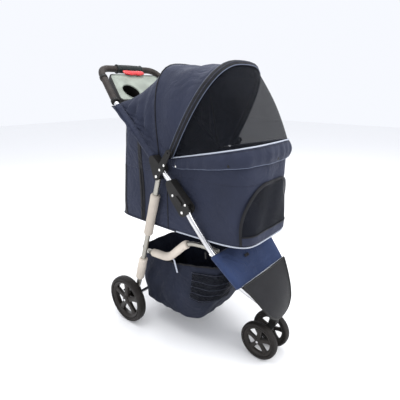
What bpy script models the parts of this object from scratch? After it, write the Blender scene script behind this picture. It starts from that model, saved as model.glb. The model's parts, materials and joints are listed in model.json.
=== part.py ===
# Three-wheel folding pet stroller.
# Metres, +Z up. The stroller rolls towards -Y, its left side is +X, and the origin is on the
# floor under the middle of its overall box. A steel tube frame folds at four pivots on each
# side: the rear leg on the side bracket, the front tube in the lock housing, and a bent side
# link between leg and front tube.
import math

import bmesh
import bpy
from mathutils import Matrix, Vector

# ---------------------------------------------------------------- driving dimensions
GAP = 0.0003               # air left between pieces that touch
TUBE_R = 0.0095            # 19 mm frame tube
LINK_R = 0.0085            # 17 mm side link
FOAM_R = 0.0165            # outside of the foam sleeves
FOAM_WALL = 0.0060

REAR_WHEEL_R = 0.098
REAR_WHEEL_W = 0.034
REAR_TRACK = 0.205         # half the distance between the rear wheels
REAR_AXLE = (0.212, REAR_WHEEL_R)
BRAKE_PIVOT = (REAR_AXLE[0] + 0.0205, REAR_AXLE[1] + 0.0060)
FRONT_WHEEL_R = 0.071
FRONT_WHEEL_W = 0.026
FRONT_TRACK = 0.044
FRONT_AXLE = (-0.321, FRONT_WHEEL_R)
TYRE_SIDES = 36            # tyre and rim share their facets, so that the seat keeps its gap
SWIVEL_Y = -0.352          # upright axis of the front caster

FRAME_X = 0.188            # the folding joints lie in this upright plane
SIDE_PIVOT = (0.0135, 0.650)     # rear leg on the side bracket
LOCK_PIVOT = (-0.101, 0.548)     # front tube in the lock housing
LEG_PIVOT = (0.1185, 0.326)      # side link on the rear leg
FRONT_PIVOT = (-0.192, 0.415)    # side link on the front tube
BOW_PIVOT = (-0.045, 0.735)      # front canopy bow on the side bracket
PIN_R = 0.0030

HANDLE_LOW = (FRAME_X, -0.094, 0.5918)     # lower end of the handle tube
HANDLE_BEND = (FRAME_X, 0.060, 0.7276)
HANDLE_TOP = (0.1790, 0.235, 0.882)         # where the padded handle loop starts
HANDLE_BAR = (0.140, 0.375, 1.003)
LOOP_R = 0.0125
GRIP_R = 0.0140

CABIN_HALF = 0.163         # half width of the fabric cabin
CABIN_MID_Y = -0.020
CABIN_NOSE = 0.290         # from there to the front of the cabin
CABIN_FLOOR = 0.446
CABIN_SPLIT = 0.655        # below this height the cabin crumples when the frame folds
CLOTH = 0.0025
LAP = 0.0034               # the canopy laps over the outside of the cabin by this much

TRIGGER_ALONG = 0.164      # the trigger turns this far up the padded loop
TRIGGER_UP = 0.010         # and this far above the middle of the loop

COLOURS = {
    "steel": ((0.62, 0.63, 0.65, 1.0), 0.25, 1.0),
    "foam": ((0.55, 0.50, 0.43, 1.0), 0.85, 0.0),
    "black_plastic": ((0.025, 0.024, 0.024, 1.0), 0.45, 0.0),
    "handle_foam": ((0.050, 0.043, 0.038, 1.0), 0.75, 0.0),
    "red_plastic": ((0.55, 0.02, 0.03, 1.0), 0.30, 0.0),
    "tray_plastic": ((0.58, 0.60, 0.54, 1.0), 0.40, 0.0),
    "navy_fabric": ((0.050, 0.060, 0.105, 1.0), 0.80, 0.0),
    "black_mesh": ((0.020, 0.020, 0.022, 1.0), 0.80, 0.0),
    "tyre_rubber": ((0.030, 0.026, 0.024, 1.0), 0.80, 0.0),
    "wheel_plastic": ((0.035, 0.030, 0.028, 1.0), 0.50, 0.0),
    "board": ((0.080, 0.080, 0.080, 1.0), 0.80, 0.0),
}


# ---------------------------------------------------------------- scene and materials
def clear_scene():
    for obj in list(bpy.data.objects):
        bpy.data.objects.remove(obj, do_unlink=True)


def new_collection(name):
    coll = bpy.data.collections.new(name)
    bpy.context.scene.collection.children.link(coll)
    return coll


clear_scene()
PARTS = new_collection("pet_stroller")
CUTTERS = new_collection("cutters")
MATERIALS = {}


def material(name):
    if name not in MATERIALS:
        colour, roughness, metallic = COLOURS[name]
        mat = bpy.data.materials.new(name)
        mat.use_nodes = True
        shader = mat.node_tree.nodes["Principled BSDF"]
        shader.inputs["Base Color"].default_value = colour
        shader.inputs["Roughness"].default_value = roughness
        shader.inputs["Metallic"].default_value = metallic
        MATERIALS[name] = mat
    return MATERIALS[name]


def place(obj, mat=None, coll=PARTS):
    """Move an object into its collection, give it its material and shade it."""
    for old in list(obj.users_collection):
        old.objects.unlink(obj)
    coll.objects.link(obj)
    if mat:
        obj.data.materials.clear()
        obj.data.materials.append(material(mat))
    if obj.type == "MESH":
        obj.data.shade_smooth()
        obj.data.set_sharp_from_angle(angle=math.radians(35))
    return obj


def set_origin(obj, point):
    """Put an object's origin at a world point and leave its shape where it is."""
    shift = Vector(point) - obj.location
    obj.data.transform(Matrix.Translation(-shift))
    obj.location = Vector(point)


# ---------------------------------------------------------------- shape helpers
def at_x(x, yz):
    return (x, yz[0], yz[1])


def rounded(points, radius, steps=4):
    """A path through points whose corners are quadratic arcs."""
    pts = [Vector(p) for p in points]
    path = [pts[0]]
    for before, corner, after in zip(pts, pts[1:], pts[2:]):
        a = corner + (before - corner).normalized() * min(radius, (before - corner).length * 0.49)
        b = corner + (after - corner).normalized() * min(radius, (after - corner).length * 0.49)
        for i in range(steps + 1):
            t = i / steps
            path.append(a * (1 - t) ** 2 + corner * 2 * t * (1 - t) + b * t ** 2)
    path.append(pts[-1])
    return path


def curve_object(name, points, radius, caps=True, sides=2):
    data = bpy.data.curves.new(name, "CURVE")
    data.dimensions = "3D"
    data.bevel_depth = radius
    data.bevel_resolution = sides
    data.use_fill_caps = caps
    spline = data.splines.new("POLY")
    spline.points.add(len(points) - 1)
    for point, co in zip(spline.points, points):
        point.co = (co[0], co[1], co[2], 1.0)
    obj = bpy.data.objects.new(name, data)
    bpy.context.scene.collection.objects.link(obj)
    return obj


def to_mesh(curve, weld=True):
    """Replace a curve object by its mesh, with the caps welded on."""
    name = curve.name
    graph = bpy.context.evaluated_depsgraph_get()
    mesh = bpy.data.meshes.new_from_object(curve.evaluated_get(graph))
    matrix = curve.matrix_world.copy()
    bpy.data.objects.remove(curve, do_unlink=True)
    if weld:
        bm = bmesh.new()
        bm.from_mesh(mesh)
        bmesh.ops.remove_doubles(bm, verts=bm.verts, dist=0.00001)
        bmesh.ops.recalc_face_normals(bm, faces=bm.faces)
        bm.to_mesh(mesh)
        bm.free()
    obj = bpy.data.objects.new(name, mesh)
    obj.matrix_world = matrix
    bpy.context.scene.collection.objects.link(obj)
    return obj


def tube(name, points, radius, mat, sides=2):
    """A capped round tube, as a closed mesh."""
    return place(to_mesh(curve_object(name, points, radius, True, sides)), mat)


def sleeve(name, points, outer, wall, mat):
    """An open-ended tube with a wall: foam round a frame tube."""
    obj = place(to_mesh(curve_object(name, points, outer, False)), mat)
    solid = obj.modifiers.new("wall", "SOLIDIFY")
    solid.thickness = wall
    solid.offset = -1.0
    return obj


def slab(name, loops, thickness, frame):
    """Flat outlines filled and extruded to a thickness, in the XY plane of a frame."""
    data = bpy.data.curves.new(name, "CURVE")
    data.dimensions = "2D"
    data.fill_mode = "BOTH"
    data.extrude = thickness / 2
    for loop in loops:
        spline = data.splines.new("POLY")
        spline.points.add(len(loop) - 1)
        spline.use_cyclic_u = True
        for point, co in zip(spline.points, loop):
            point.co = (co[0], co[1], 0.0, 1.0)
    obj = bpy.data.objects.new(name, data)
    bpy.context.scene.collection.objects.link(obj)
    obj.matrix_world = frame
    bpy.context.view_layer.update()
    solid = to_mesh(obj)
    solid.data.transform(solid.matrix_world)
    solid.matrix_world = Matrix.Identity(4)
    return solid


def plate(name, outline, x_low, x_high, mat=None, holes=()):
    """A flat outline in the YZ plane, extruded between two X values, with outline holes."""
    # the slab's own XY plane is turned so that X -> Y, Y -> Z, Z -> X
    turn = Matrix(((0, 0, 1, (x_low + x_high) / 2), (1, 0, 0, 0), (0, 1, 0, 0), (0, 0, 0, 1)))
    solid = slab(name, (outline, *holes), x_high - x_low, turn)
    return place(solid, mat) if mat else solid


def circle(centre, radius, count=16, start=0.0, sweep=2 * math.pi):
    """Points on a circle in a plane; a full turn by default."""
    ends = 0 if sweep >= 2 * math.pi - 1e-6 else 1
    turn = [start + sweep * i / (count - ends) for i in range(count)]
    return [(centre[0] + radius * math.cos(a), centre[1] + radius * math.sin(a)) for a in turn]


def stadium(a, b, radius, count=7):
    """The outline of a thick line with round ends, from a to b."""
    angle = math.atan2(b[1] - a[1], b[0] - a[0])
    half = math.pi / 2
    return (circle(b, radius, count, angle - half, math.pi)
            + circle(a, radius, count, angle + half, math.pi))


def around(*discs, count=16):
    """The outline of a band stretched round several discs (y, z, radius)."""
    points = sorted(p for y, z, r in discs for p in circle((y, z), r, count))

    def turn(a, b, c):
        return (b[0] - a[0]) * (c[1] - a[1]) - (b[1] - a[1]) * (c[0] - a[0])

    hull = []
    for run in (points, points[::-1]):
        chain = []
        for p in run:
            while len(chain) > 1 and turn(chain[-2], chain[-1], p) < 1e-9:
                chain.pop()
            chain.append(p)
        hull += chain[:-1]
    return hull


def rod(name, start, end, radius, verts=16, mat=None, coll=PARTS):
    """A plain cylinder between two points."""
    a, b = Vector(start), Vector(end)
    bpy.ops.mesh.primitive_cylinder_add(vertices=verts, radius=radius, depth=(b - a).length,
                                        location=(a + b) / 2)
    obj = bpy.context.object
    obj.name = name
    obj.rotation_mode = "QUATERNION"
    obj.rotation_quaternion = (b - a).to_track_quat("Z", "X")
    return place(obj, mat, coll)


def boolean(obj, other, operation):
    """Apply a Boolean at once and drop the other object."""
    mod = obj.modifiers.new(operation.lower(), "BOOLEAN")
    mod.operation = operation
    mod.object = other
    mod.solver = "EXACT"
    bpy.context.view_layer.update()
    graph = bpy.context.evaluated_depsgraph_get()
    mesh = bpy.data.meshes.new_from_object(obj.evaluated_get(graph))
    obj.modifiers.clear()
    obj.data = mesh
    bpy.data.objects.remove(other, do_unlink=True)
    return obj


def cut(obj, other):
    return boolean(obj, other, "DIFFERENCE")


def join(obj, other):
    return boolean(obj, other, "UNION")


def drill(obj, yz, radius, x_low, x_high, verts=12):
    """A round hole along X."""
    return cut(obj, rod("drill", at_x(x_low, yz), at_x(x_high, yz), radius, verts, None, CUTTERS))


def lathe(name, profile, centre, mat, steps=32, axis=(0.0, math.pi / 2, 0.0)):
    """A profile of (radius, height) points turned about its axis, +X unless told otherwise.

    A profile that starts and ends on the axis is left open there; any other is a closed ring."""
    mesh = bpy.data.meshes.new(name)
    count = len(profile)
    last = count - 1 if profile[0][0] == 0.0 else count
    mesh.from_pydata([(r, 0.0, h) for r, h in profile],
                     [(i, (i + 1) % count) for i in range(last)], [])
    obj = bpy.data.objects.new(name, mesh)
    obj.location = centre
    obj.rotation_euler = axis
    screw = obj.modifiers.new("turn", "SCREW")
    screw.angle = 2 * math.pi
    screw.steps = steps
    screw.render_steps = steps
    screw.use_merge_vertices = True
    screw.merge_threshold = 0.00001
    bpy.context.scene.collection.objects.link(obj)
    return place(obj, mat)


def surface(name, rows, mat, ring=False, floor=False, thickness=CLOTH):
    """A sheet lofted through rows of points, then thickened inwards."""
    bm = bmesh.new()
    grid = [[bm.verts.new(p) for p in row] for row in rows]
    for low, high in zip(grid, grid[1:]):
        count = len(low)
        for i in range(count if ring else count - 1):
            j = (i + 1) % count
            bm.faces.new((low[i], low[j], high[j], high[i]))
    if floor:
        bm.faces.new(list(reversed(grid[0])))
    mesh = bpy.data.meshes.new(name)
    bm.to_mesh(mesh)
    bm.free()
    obj = bpy.data.objects.new(name, mesh)
    bpy.context.scene.collection.objects.link(obj)
    place(obj, mat)
    solid = obj.modifiers.new("wall", "SOLIDIFY")
    solid.thickness = thickness
    solid.offset = -1.0
    return obj


def side_name(side):
    return "left" if side > 0 else "right"


# ---------------------------------------------------------------- fabric outlines
def power(value, exponent):
    return math.copysign(abs(value) ** exponent, value)


def mix(a, b, t):
    return a + (b - a) * t


def oval(angle, half, depth, square):
    """The point of a squared oval that lies in a direction, as (x, y) from its middle."""
    c, s = math.cos(angle), math.sin(angle)
    reach = (abs(c / half) ** square + abs(s / depth) ** square) ** (-1.0 / square)
    return c * reach, s * reach


def cabin_ring(z, inset=0.0, count=40, lift=None):
    """Plan of the cabin at height z: a squared oval, narrower and fuller low down in front."""
    t = (z - CABIN_FLOOR) / (0.868 - CABIN_FLOOR)
    back = mix(0.285, 0.235, min(1.0, t * 1.15)) - CABIN_MID_Y - inset
    front = CABIN_NOSE - inset
    low = min(1.0, t / 0.75)
    points = []
    for i in range(count):
        angle = 2 * math.pi * i / count
        behind = math.sin(angle) > 0
        depth = back if behind else front
        x, y = oval(angle, CABIN_HALF - inset, depth, 9.0 if behind else mix(6.0, 4.0, low))
        if not behind:
            x *= 1 - mix(0.11, 0.0, low) * abs(y / depth)
        y += CABIN_MID_Y
        points.append(Vector((x, y, z if lift is None else lift(y))))
    return points


def rim_height(y):
    """Top edge of the cabin side: along the rail in front, along the handle tube behind."""
    return max(0.7037 - 0.21 * y, 0.674 + 0.83 * y)


def arch(base, apex, square, half, count=24, grow=0.0):
    """A bow over the cabin, from one side to the other, in the plane of base and apex."""
    points = []
    for i in range(count + 1):
        angle = math.pi * i / count
        across = power(math.cos(angle), 2 / square)
        up = abs(math.sin(angle)) ** (2 / square)
        y = mix(base[0], apex[0], up * (1 + grow))
        z = mix(base[1], apex[1], up * (1 + grow))
        points.append(Vector((half * across, y, z)))
    return points


REAR_BOW = ((0.029, 0.702), (0.072, 1.008))
FRONT_BOW = ((-0.022, 0.713), (-0.180, 0.996))
RAIL = ((-0.026, 0.713), (-0.3130, 0.768))
REAR_EDGE = ((0.229, 0.868), (0.236, 0.890))


def between(low, high, t, bulge=(0.0, 0.0)):
    """Base and apex of an arch part of the way from one bow to the next."""
    swell = math.sin(math.pi * t)
    base = (mix(low[0][0], high[0][0], t), mix(low[0][1], high[0][1], t))
    apex = (mix(low[1][0], high[1][0], t) + bulge[0] * swell,
            mix(low[1][1], high[1][1], t) + bulge[1] * swell)
    return base, apex


# ---------------------------------------------------------------- handle, tray and trigger
def handle_tube(side):
    path = rounded([(side * x, y, z) for x, y, z in (HANDLE_LOW, HANDLE_BEND, HANDLE_TOP)], 0.03)
    tube("handle_tube_" + side_name(side), path, TUBE_R, "steel")


def handle_loop():
    start = Vector(HANDLE_TOP)
    along = (Vector(HANDLE_BAR) - start).normalized()
    begin = start + along * 0.0022
    half = [begin, Vector(HANDLE_BAR)]
    other = [Vector((-p.x, p.y, p.z)) for p in reversed(half)]
    tube("handle_loop", rounded(half + other, 0.045, 5), LOOP_R, "handle_foam", 3)


def handle_grip():
    """The hand grip: a hollow sleeve over the middle of the bar, with rounded lips."""
    inner = LOOP_R + GAP
    half = 0.062
    lip = 0.003
    profile = [(inner, half), (GRIP_R + 0.0005, half), (GRIP_R + lip, half - lip),
               (GRIP_R + lip, lip - half), (GRIP_R + 0.0005, -half), (inner, -half)]
    lathe("handle_grip", profile, (0.0, HANDLE_BAR[1], HANDLE_BAR[2]), "black_plastic", 24)


def fold_trigger():
    """The red squeeze lever in front of the grip; it turns about its edge nearest the bar."""
    outline = [(0.1665, 0.0115), (0.1600, 0.0155), (0.1460, 0.0150), (0.1380, 0.0120),
               (0.1380, 0.0085), (0.1460, 0.0076), (0.1580, 0.0076), (0.1660, 0.0080)]
    frame = tray_frame()
    flat = [frame @ Vector((0.0, run, up)) for run, up in outline]
    lever = plate("fold_trigger", [(p.y, p.z) for p in flat], -0.052, 0.052, "red_plastic")
    set_origin(lever, frame @ Vector((0.0, TRIGGER_ALONG, TRIGGER_UP)))


def tray_outline(inset):
    """Plan of the tray in the plane of the handle: narrower towards the bar."""
    wide, narrow = 0.154 - inset, 0.120 - inset
    near, far = 0.004 + inset, 0.150 - inset
    corner = [(-wide, near), (wide, near), (narrow, far), (-narrow, far)]
    path = []
    for before, at, after in zip(corner[-1:] + corner[:-1], corner, corner[1:] + corner[:1]):
        a = Vector(at) + (Vector(before) - Vector(at)).normalized() * 0.02
        b = Vector(at) + (Vector(after) - Vector(at)).normalized() * 0.02
        for t in (0.0, 0.25, 0.5, 0.75, 1.0):
            path.append(a * (1 - t) ** 2 + Vector(at) * 2 * t * (1 - t) + b * t ** 2)
    return path


CUP_R = 0.0365
CUP_SPOTS = ((-0.074, 0.052), (0.074, 0.052))


def tray_frame():
    """Turns tray coordinates (across, along the handle, up) into the stroller's."""
    start = Vector((0.0, HANDLE_TOP[1], HANDLE_TOP[2]))
    along = (Vector((0.0, HANDLE_BAR[1], HANDLE_BAR[2])) - start).normalized()
    across = Vector((1.0, 0.0, 0.0))
    up = across.cross(along)
    frame = Matrix((across, along, up)).transposed().to_4x4()
    frame.translation = start
    return frame


def flat_shape(name, outline, low, high, holes=()):
    """A plan outline in tray coordinates, extruded from low to high."""
    level = tray_frame() @ Matrix.Translation((0, 0, (low + high) / 2))
    return slab(name, (outline, *holes), high - low, level)


def tray():
    frame = tray_frame()
    up = frame.to_3x3() @ Vector((0, 0, 1))
    body = flat_shape("tray_body", tray_outline(0.0), -0.026, 0.004)
    for x, y in CUP_SPOTS:
        top = frame @ Vector((x, y, 0.0))
        join(body, rod("cup", top - up * 0.050, top, CUP_R + 0.003, 16, None, CUTTERS))
    cut(body, flat_shape("recess", tray_outline(0.004), -0.0001, 0.02))
    for x, y in CUP_SPOTS:
        top = frame @ Vector((x, y, 0.02))
        cut(body, rod("well", top - up * 0.067, top, CUP_R, 16, None, CUTTERS))
    place(body, "black_plastic")
    holes = [circle(spot, CUP_R, 16) for spot in CUP_SPOTS]
    lid = flat_shape("tray_top", tray_outline(0.0045), GAP - 0.0001, 0.0035, holes)
    place(lid, "tray_plastic")


# ---------------------------------------------------------------- side brackets and locks
def heading(origin, yz, distance):
    """The point at a distance from origin towards another point."""
    run = Vector(yz) - Vector(origin)
    return tuple(Vector(origin) + run.normalized() * distance)


def pivot_bracket(side):
    """Side bracket: clamps the handle tube and carries the leg pivot and the canopy pivot."""
    outer, inner = FRAME_X + 0.0150, FRAME_X - 0.0150
    low, high = sorted((side * outer, side * inner))
    block = plate("pivot_bracket_" + side_name(side),
                  around((0.000, 0.6755, 0.0165), (0.030, 0.703, 0.0150), (*SIDE_PIVOT, 0.0135)),
                  low, high)
    low, high = sorted((side * outer, side * (outer - 0.0040)))
    bow_ear = plate("ear", around((*BOW_PIVOT, 0.0105), (-0.010, 0.682, 0.0140)), low, high)
    join(block, bow_ear)
    a = Vector((side * FRAME_X, HANDLE_LOW[1], HANDLE_LOW[2]))
    b = Vector((side * FRAME_X, HANDLE_BEND[1], HANDLE_BEND[2]))
    run = (b - a).normalized()
    cut(block, rod("bore", a, b + run * 0.10, TUBE_R + GAP, 16, None, CUTTERS))
    slot_low, slot_high = sorted((side * (FRAME_X - 0.0102), side * (FRAME_X + 0.0102)))
    rest = heading(SIDE_PIVOT, LEG_PIVOT, 0.07)
    folded = (SIDE_PIVOT[0] + 0.07, SIDE_PIVOT[1] + 0.003)
    slot = plate("slot", around((*SIDE_PIVOT, 0.0118), (*rest, 0.0118), (*folded, 0.0118)),
                 slot_low, slot_high)
    cut(block, slot)
    x_low, x_high = sorted((side * (inner - 0.01), side * (outer + 0.01)))
    drill(block, SIDE_PIVOT, PIN_R + GAP, x_low, x_high)
    drill(block, BOW_PIVOT, PIN_R + GAP, x_low, x_high)
    place(block, "black_plastic")


def lock_housing(side):
    """Moulded housing on the end of the handle tube; the front tube locks inside it."""
    outer, inner = FRAME_X + 0.0145, FRAME_X - 0.0145
    low, high = sorted((side * outer, side * inner))
    housing = plate("lock_housing_" + side_name(side),
                    around((-0.114, 0.5620, 0.0190), (-0.047, 0.6300, 0.0165), (*LOCK_PIVOT, 0.0150),
                           (-0.064, 0.5900, 0.0150)), low, high)
    a = Vector((side * FRAME_X, HANDLE_LOW[1], HANDLE_LOW[2]))
    b = Vector((side * FRAME_X, HANDLE_BEND[1], HANDLE_BEND[2]))
    cut(housing, rod("bore", a - (b - a).normalized() * 0.001, b, TUBE_R + GAP, 16, None, CUTTERS))
    slot_low, slot_high = sorted((side * (FRAME_X - 0.0105), side * (FRAME_X + 0.0105)))
    slot = plate("slot", around((-0.155, 0.5750, 0.012), (-0.170, 0.5000, 0.012),
                                (*LOCK_PIVOT, 0.0240), (0.0, 0.5200, 0.012)), slot_low, slot_high)
    cut(housing, slot)
    x_low, x_high = sorted((side * (inner - 0.01), side * (outer + 0.01)))
    drill(housing, LOCK_PIVOT, PIN_R + GAP, x_low, x_high)
    place(housing, "black_plastic")


def lock_latch(side):
    """The sliding catch on the outside of the lock housing, drawn up by the trigger."""
    run = Vector((0.0, HANDLE_BEND[1] - HANDLE_LOW[1], HANDLE_BEND[2] - HANDLE_LOW[2])).normalized()
    face = FRAME_X + 0.0145 + GAP
    low, high = sorted((side * face, side * (face + 0.0045)))
    centre = Vector((0.0, -0.088, 0.5845))
    a, b = centre - run * 0.011, centre + run * 0.011
    latch = plate("lock_latch_" + side_name(side), stadium((a.y, a.z), (b.y, b.z), 0.0075, 6),
                  low, high, "black_plastic")
    set_origin(latch, (side * face, centre.y, centre.z))


def pin(name, yz, x_low, x_high, head=0.0055):
    """A rivet along X: a shank with a low head on its outer end and a flare on the other."""
    outer = max(x_low, x_high, key=abs)
    middle = (x_low + x_high) / 2
    half = abs(x_high - x_low) / 2
    thick = 0.0016
    profile = [(0.0, half + thick), (head * 0.6, half + thick), (head, half + GAP),
               (PIN_R, half + GAP), (PIN_R, -half - GAP), (head, -half - GAP),
               (head, -half - thick), (0.0, -half - thick)]
    outwards = (0.0, math.copysign(math.pi / 2, outer), 0.0)
    return lathe(name, profile, at_x(middle, yz), "steel", 12, outwards)


# ---------------------------------------------------------------- rear frame
LEG_PIVOT_X, LEG_LOW_X = 0.182, 0.176
LEG_KNEE = (0.1775, 0.1715, 0.165)
LEG_END = (LEG_LOW_X, 0.2020, 0.1180)


def leg_path(side):
    """Centre line of a rear leg, straight down to the knee and then back to the axle."""
    points = [(FRAME_X, SIDE_PIVOT[0], SIDE_PIVOT[1]), (LEG_PIVOT_X, *LEG_PIVOT), LEG_KNEE, LEG_END]
    return [Vector((side * x, y, z)) for x, y, z in points]


def along(path, start, end):
    """The stretch of a two-point run between two fractions."""
    return [path[0].lerp(path[1], start), path[0].lerp(path[1], end)]


def rear_leg(side):
    points = leg_path(side)
    run = (points[0] - points[1]).normalized()
    points[0] = points[0] + run * 0.006
    leg = tube("rear_leg_" + side_name(side), rounded(points, 0.03), TUBE_R - 0.0003, "steel")
    x_low, x_high = sorted((side * 0.15, side * 0.22))
    drill(leg, SIDE_PIVOT, PIN_R + GAP, x_low, x_high)
    place(leg, "steel")
    set_origin(leg, at_x(side * FRAME_X, SIDE_PIVOT))


def leg_foam(side):
    points = leg_path(side)
    upper = along(points[:2], 0.22, 0.72)
    sleeve("leg_foam_upper_" + side_name(side), upper, FOAM_R, FOAM_WALL, "foam")
    run = points[2] - points[1]
    lower = [points[1] + run * 0.14, points[1] + run * 0.74]
    sleeve("leg_foam_lower_" + side_name(side), lower, FOAM_R, FOAM_WALL, "foam")


def axle_bracket(side):
    """Plastic foot that joins the leg end to the rear axle."""
    low, high = sorted((side * 0.158, side * 0.1855))
    body = plate("axle_bracket_" + side_name(side),
                 stadium(REAR_AXLE, (0.196, 0.131), 0.0165), low, high)
    points = leg_path(side)
    end_run = (points[3] - points[2]).normalized()
    cut(body, rod("bore", points[2], points[3] + end_run * 0.001, TUBE_R + 0.0004, 16, None, CUTTERS))
    drill(body, REAR_AXLE, 0.0090 + GAP, low - 0.01, high + 0.01, 16)
    place(body, "black_plastic")


def rear_axle():
    """One steel axle, stepped down at both ends for the wheels."""
    step, end = 0.1865, 0.2240
    thick, thin = 0.0088, 0.0055
    profile = [(0.0, end), (thin, end), (thin, step), (thick, step), (thick, -step),
               (thin, -step), (thin, -end), (0.0, -end)]
    lathe("rear_axle", profile, at_x(0.0, REAR_AXLE), "steel", 16)


def brake_lever(side):
    """Foot lever behind the axle bracket; pressed down it bears on the wheel's inner face."""
    low, high = sorted((side * 0.1585, side * 0.1850))
    y, z = BRAKE_PIVOT
    outline = [(y + 0.0070, z - 0.0070), (y + 0.0330, z - 0.0010), (y + 0.0360, z + 0.0030),
               (y + 0.0330, z + 0.0060), (y + 0.0060, z + 0.0075), (y, z + 0.0075),
               (y, z - 0.0070)]
    lever = plate("brake_lever_" + side_name(side), outline, low, high, "black_plastic")
    set_origin(lever, at_x(side * 0.172, BRAKE_PIVOT))


def tyre(name, centre, radius, width, rim_r):
    """Foam tyre: a bead in the rim's seat, two flat walls and a crowned tread."""
    half, deep = width / 2, radius - rim_r
    side = [(rim_r, half - 0.004), (rim_r + 0.28 * deep, half), (radius - 0.38 * deep, half),
            (radius - 0.004, half - 0.004), (radius, half - 0.010)]
    profile = side + [(r, -h) for r, h in reversed(side)]
    return lathe(name, profile, centre, "tyre_rubber", TYRE_SIDES)


def rim(name, centre, rim_r, width, hub_r, hub_w, bore, spokes=5):
    """Spoked rim: a disc with five windows and a hub."""
    y, z = centre[1], centre[2]
    outer, inner, root = rim_r - GAP, rim_r - 0.009, hub_r + 0.006
    windows = []
    for i in range(spokes):
        middle = 2 * math.pi * (i + 0.5) / spokes + math.pi / 2
        wide = math.pi / spokes - 0.010 / inner
        thin = math.pi / spokes - 0.010 / root
        arc_out = circle((y, z), inner, 7, middle - wide, 2 * wide)
        arc_in = circle((y, z), root, 3, middle + thin, -2 * thin)
        windows.append(arc_out + arc_in)
    disc = plate(name, circle((y, z), outer, TYRE_SIDES), centre[0] - width / 2, centre[0] + width / 2,
                 None, windows)
    hub = rod("hub", (centre[0] - hub_w / 2, y, z), (centre[0] + hub_w / 2, y, z), hub_r, 20,
              None, CUTTERS)
    join(disc, hub)
    drill(disc, (y, z), bore, centre[0] - hub_w, centre[0] + hub_w, 16)
    place(disc, "wheel_plastic")
    set_origin(disc, centre)


def rear_wheel(side):
    centre = at_x(side * REAR_TRACK, REAR_AXLE)
    rim_r = REAR_WHEEL_R - 0.019
    tyre("rear_tyre_" + side_name(side), centre, REAR_WHEEL_R, REAR_WHEEL_W, rim_r)
    rim("rear_rim_" + side_name(side), centre, rim_r, 0.016, 0.017, 0.0340, 0.0060)


# ---------------------------------------------------------------- side links
LINK_X = {"leg": 0.1560, "low": 0.1540, "high": 0.1440, "fore": 0.1390, "front": 0.1330}
LINK_BEND = 0.028
LINK_LOW = (0.0130, 0.3310)
LINK_HIGH = (-0.0700, 0.4120)
LINK_FORE = (-0.1250, 0.4190)


def link_points(side):
    points = [(LINK_X["leg"], *LEG_PIVOT), (LINK_X["low"], *LINK_LOW), (LINK_X["high"], *LINK_HIGH),
              (LINK_X["fore"], *LINK_FORE), (LINK_X["front"], *FRONT_PIVOT)]
    return [Vector((side * x, y, z)) for x, y, z in points]


def side_link(side):
    """Bent link: pinned to the rear leg behind and to the front tube in front."""
    points = link_points(side)
    start_run = (points[0] - points[1]).normalized()
    end_run = (points[4] - points[3]).normalized()
    points[0] = points[0] + start_run * 0.008
    points[4] = points[4] + end_run * 0.008
    link = tube("side_link_" + side_name(side), rounded(points, LINK_BEND), LINK_R, "steel")
    x_low, x_high = sorted((side * 0.12, side * 0.17))
    drill(link, LEG_PIVOT, PIN_R + GAP, x_low, x_high)
    drill(link, FRONT_PIVOT, PIN_R + GAP, x_low, x_high)
    place(link, "steel")
    set_origin(link, at_x(side * LINK_X["front"], FRONT_PIVOT))


def link_foam(side):
    """Foam sleeve over the link's two sloping runs and the bend between them."""
    path = rounded(link_points(side), LINK_BEND)
    path = [path[0].lerp(path[1], 0.20), *path[1:6], path[5].lerp(path[6], 0.97)]
    sleeve("link_foam_" + side_name(side), path, FOAM_R - 0.0015, FOAM_WALL - 0.0005, "foam")


# ---------------------------------------------------------------- front frame and caster
SHIELD_TOP = (-0.286, 0.317)
HEAD_TOP, HEAD_LOW = 0.222, 0.150
FRONT_TUBE_X = {"top": FRAME_X, "link": 0.1575, "shield": 0.1340, "head": 0.0280}


def front_tube_points(side):
    points = [(FRAME_X, -0.1085, 0.5600), (FRAME_X, -0.1260, 0.5310),
              (FRONT_TUBE_X["link"], *FRONT_PIVOT),
              (FRONT_TUBE_X["shield"], *SHIELD_TOP), (FRONT_TUBE_X["head"], SWIVEL_Y, 0.2000)]
    return [Vector((side * x, y, z)) for x, y, z in points]


def front_tube(side):
    path = rounded(front_tube_points(side), 0.035)
    leg = tube("front_tube_" + side_name(side), path, TUBE_R - 0.0003, "steel")
    lug_low, lug_high = sorted((side * (FRAME_X - 0.0085), side * (FRAME_X + 0.0085)))
    lug = plate("lug", stadium(LOCK_PIVOT, (-0.1115, 0.5480), 0.0080), lug_low, lug_high)
    join(leg, lug)
    x_low, x_high = sorted((side * 0.12, side * 0.22))
    drill(leg, LOCK_PIVOT, PIN_R + GAP, x_low, x_high)
    drill(leg, FRONT_PIVOT, PIN_R + GAP, x_low, x_high)
    place(leg, "steel")
    set_origin(leg, at_x(side * FRAME_X, LOCK_PIVOT))


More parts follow.
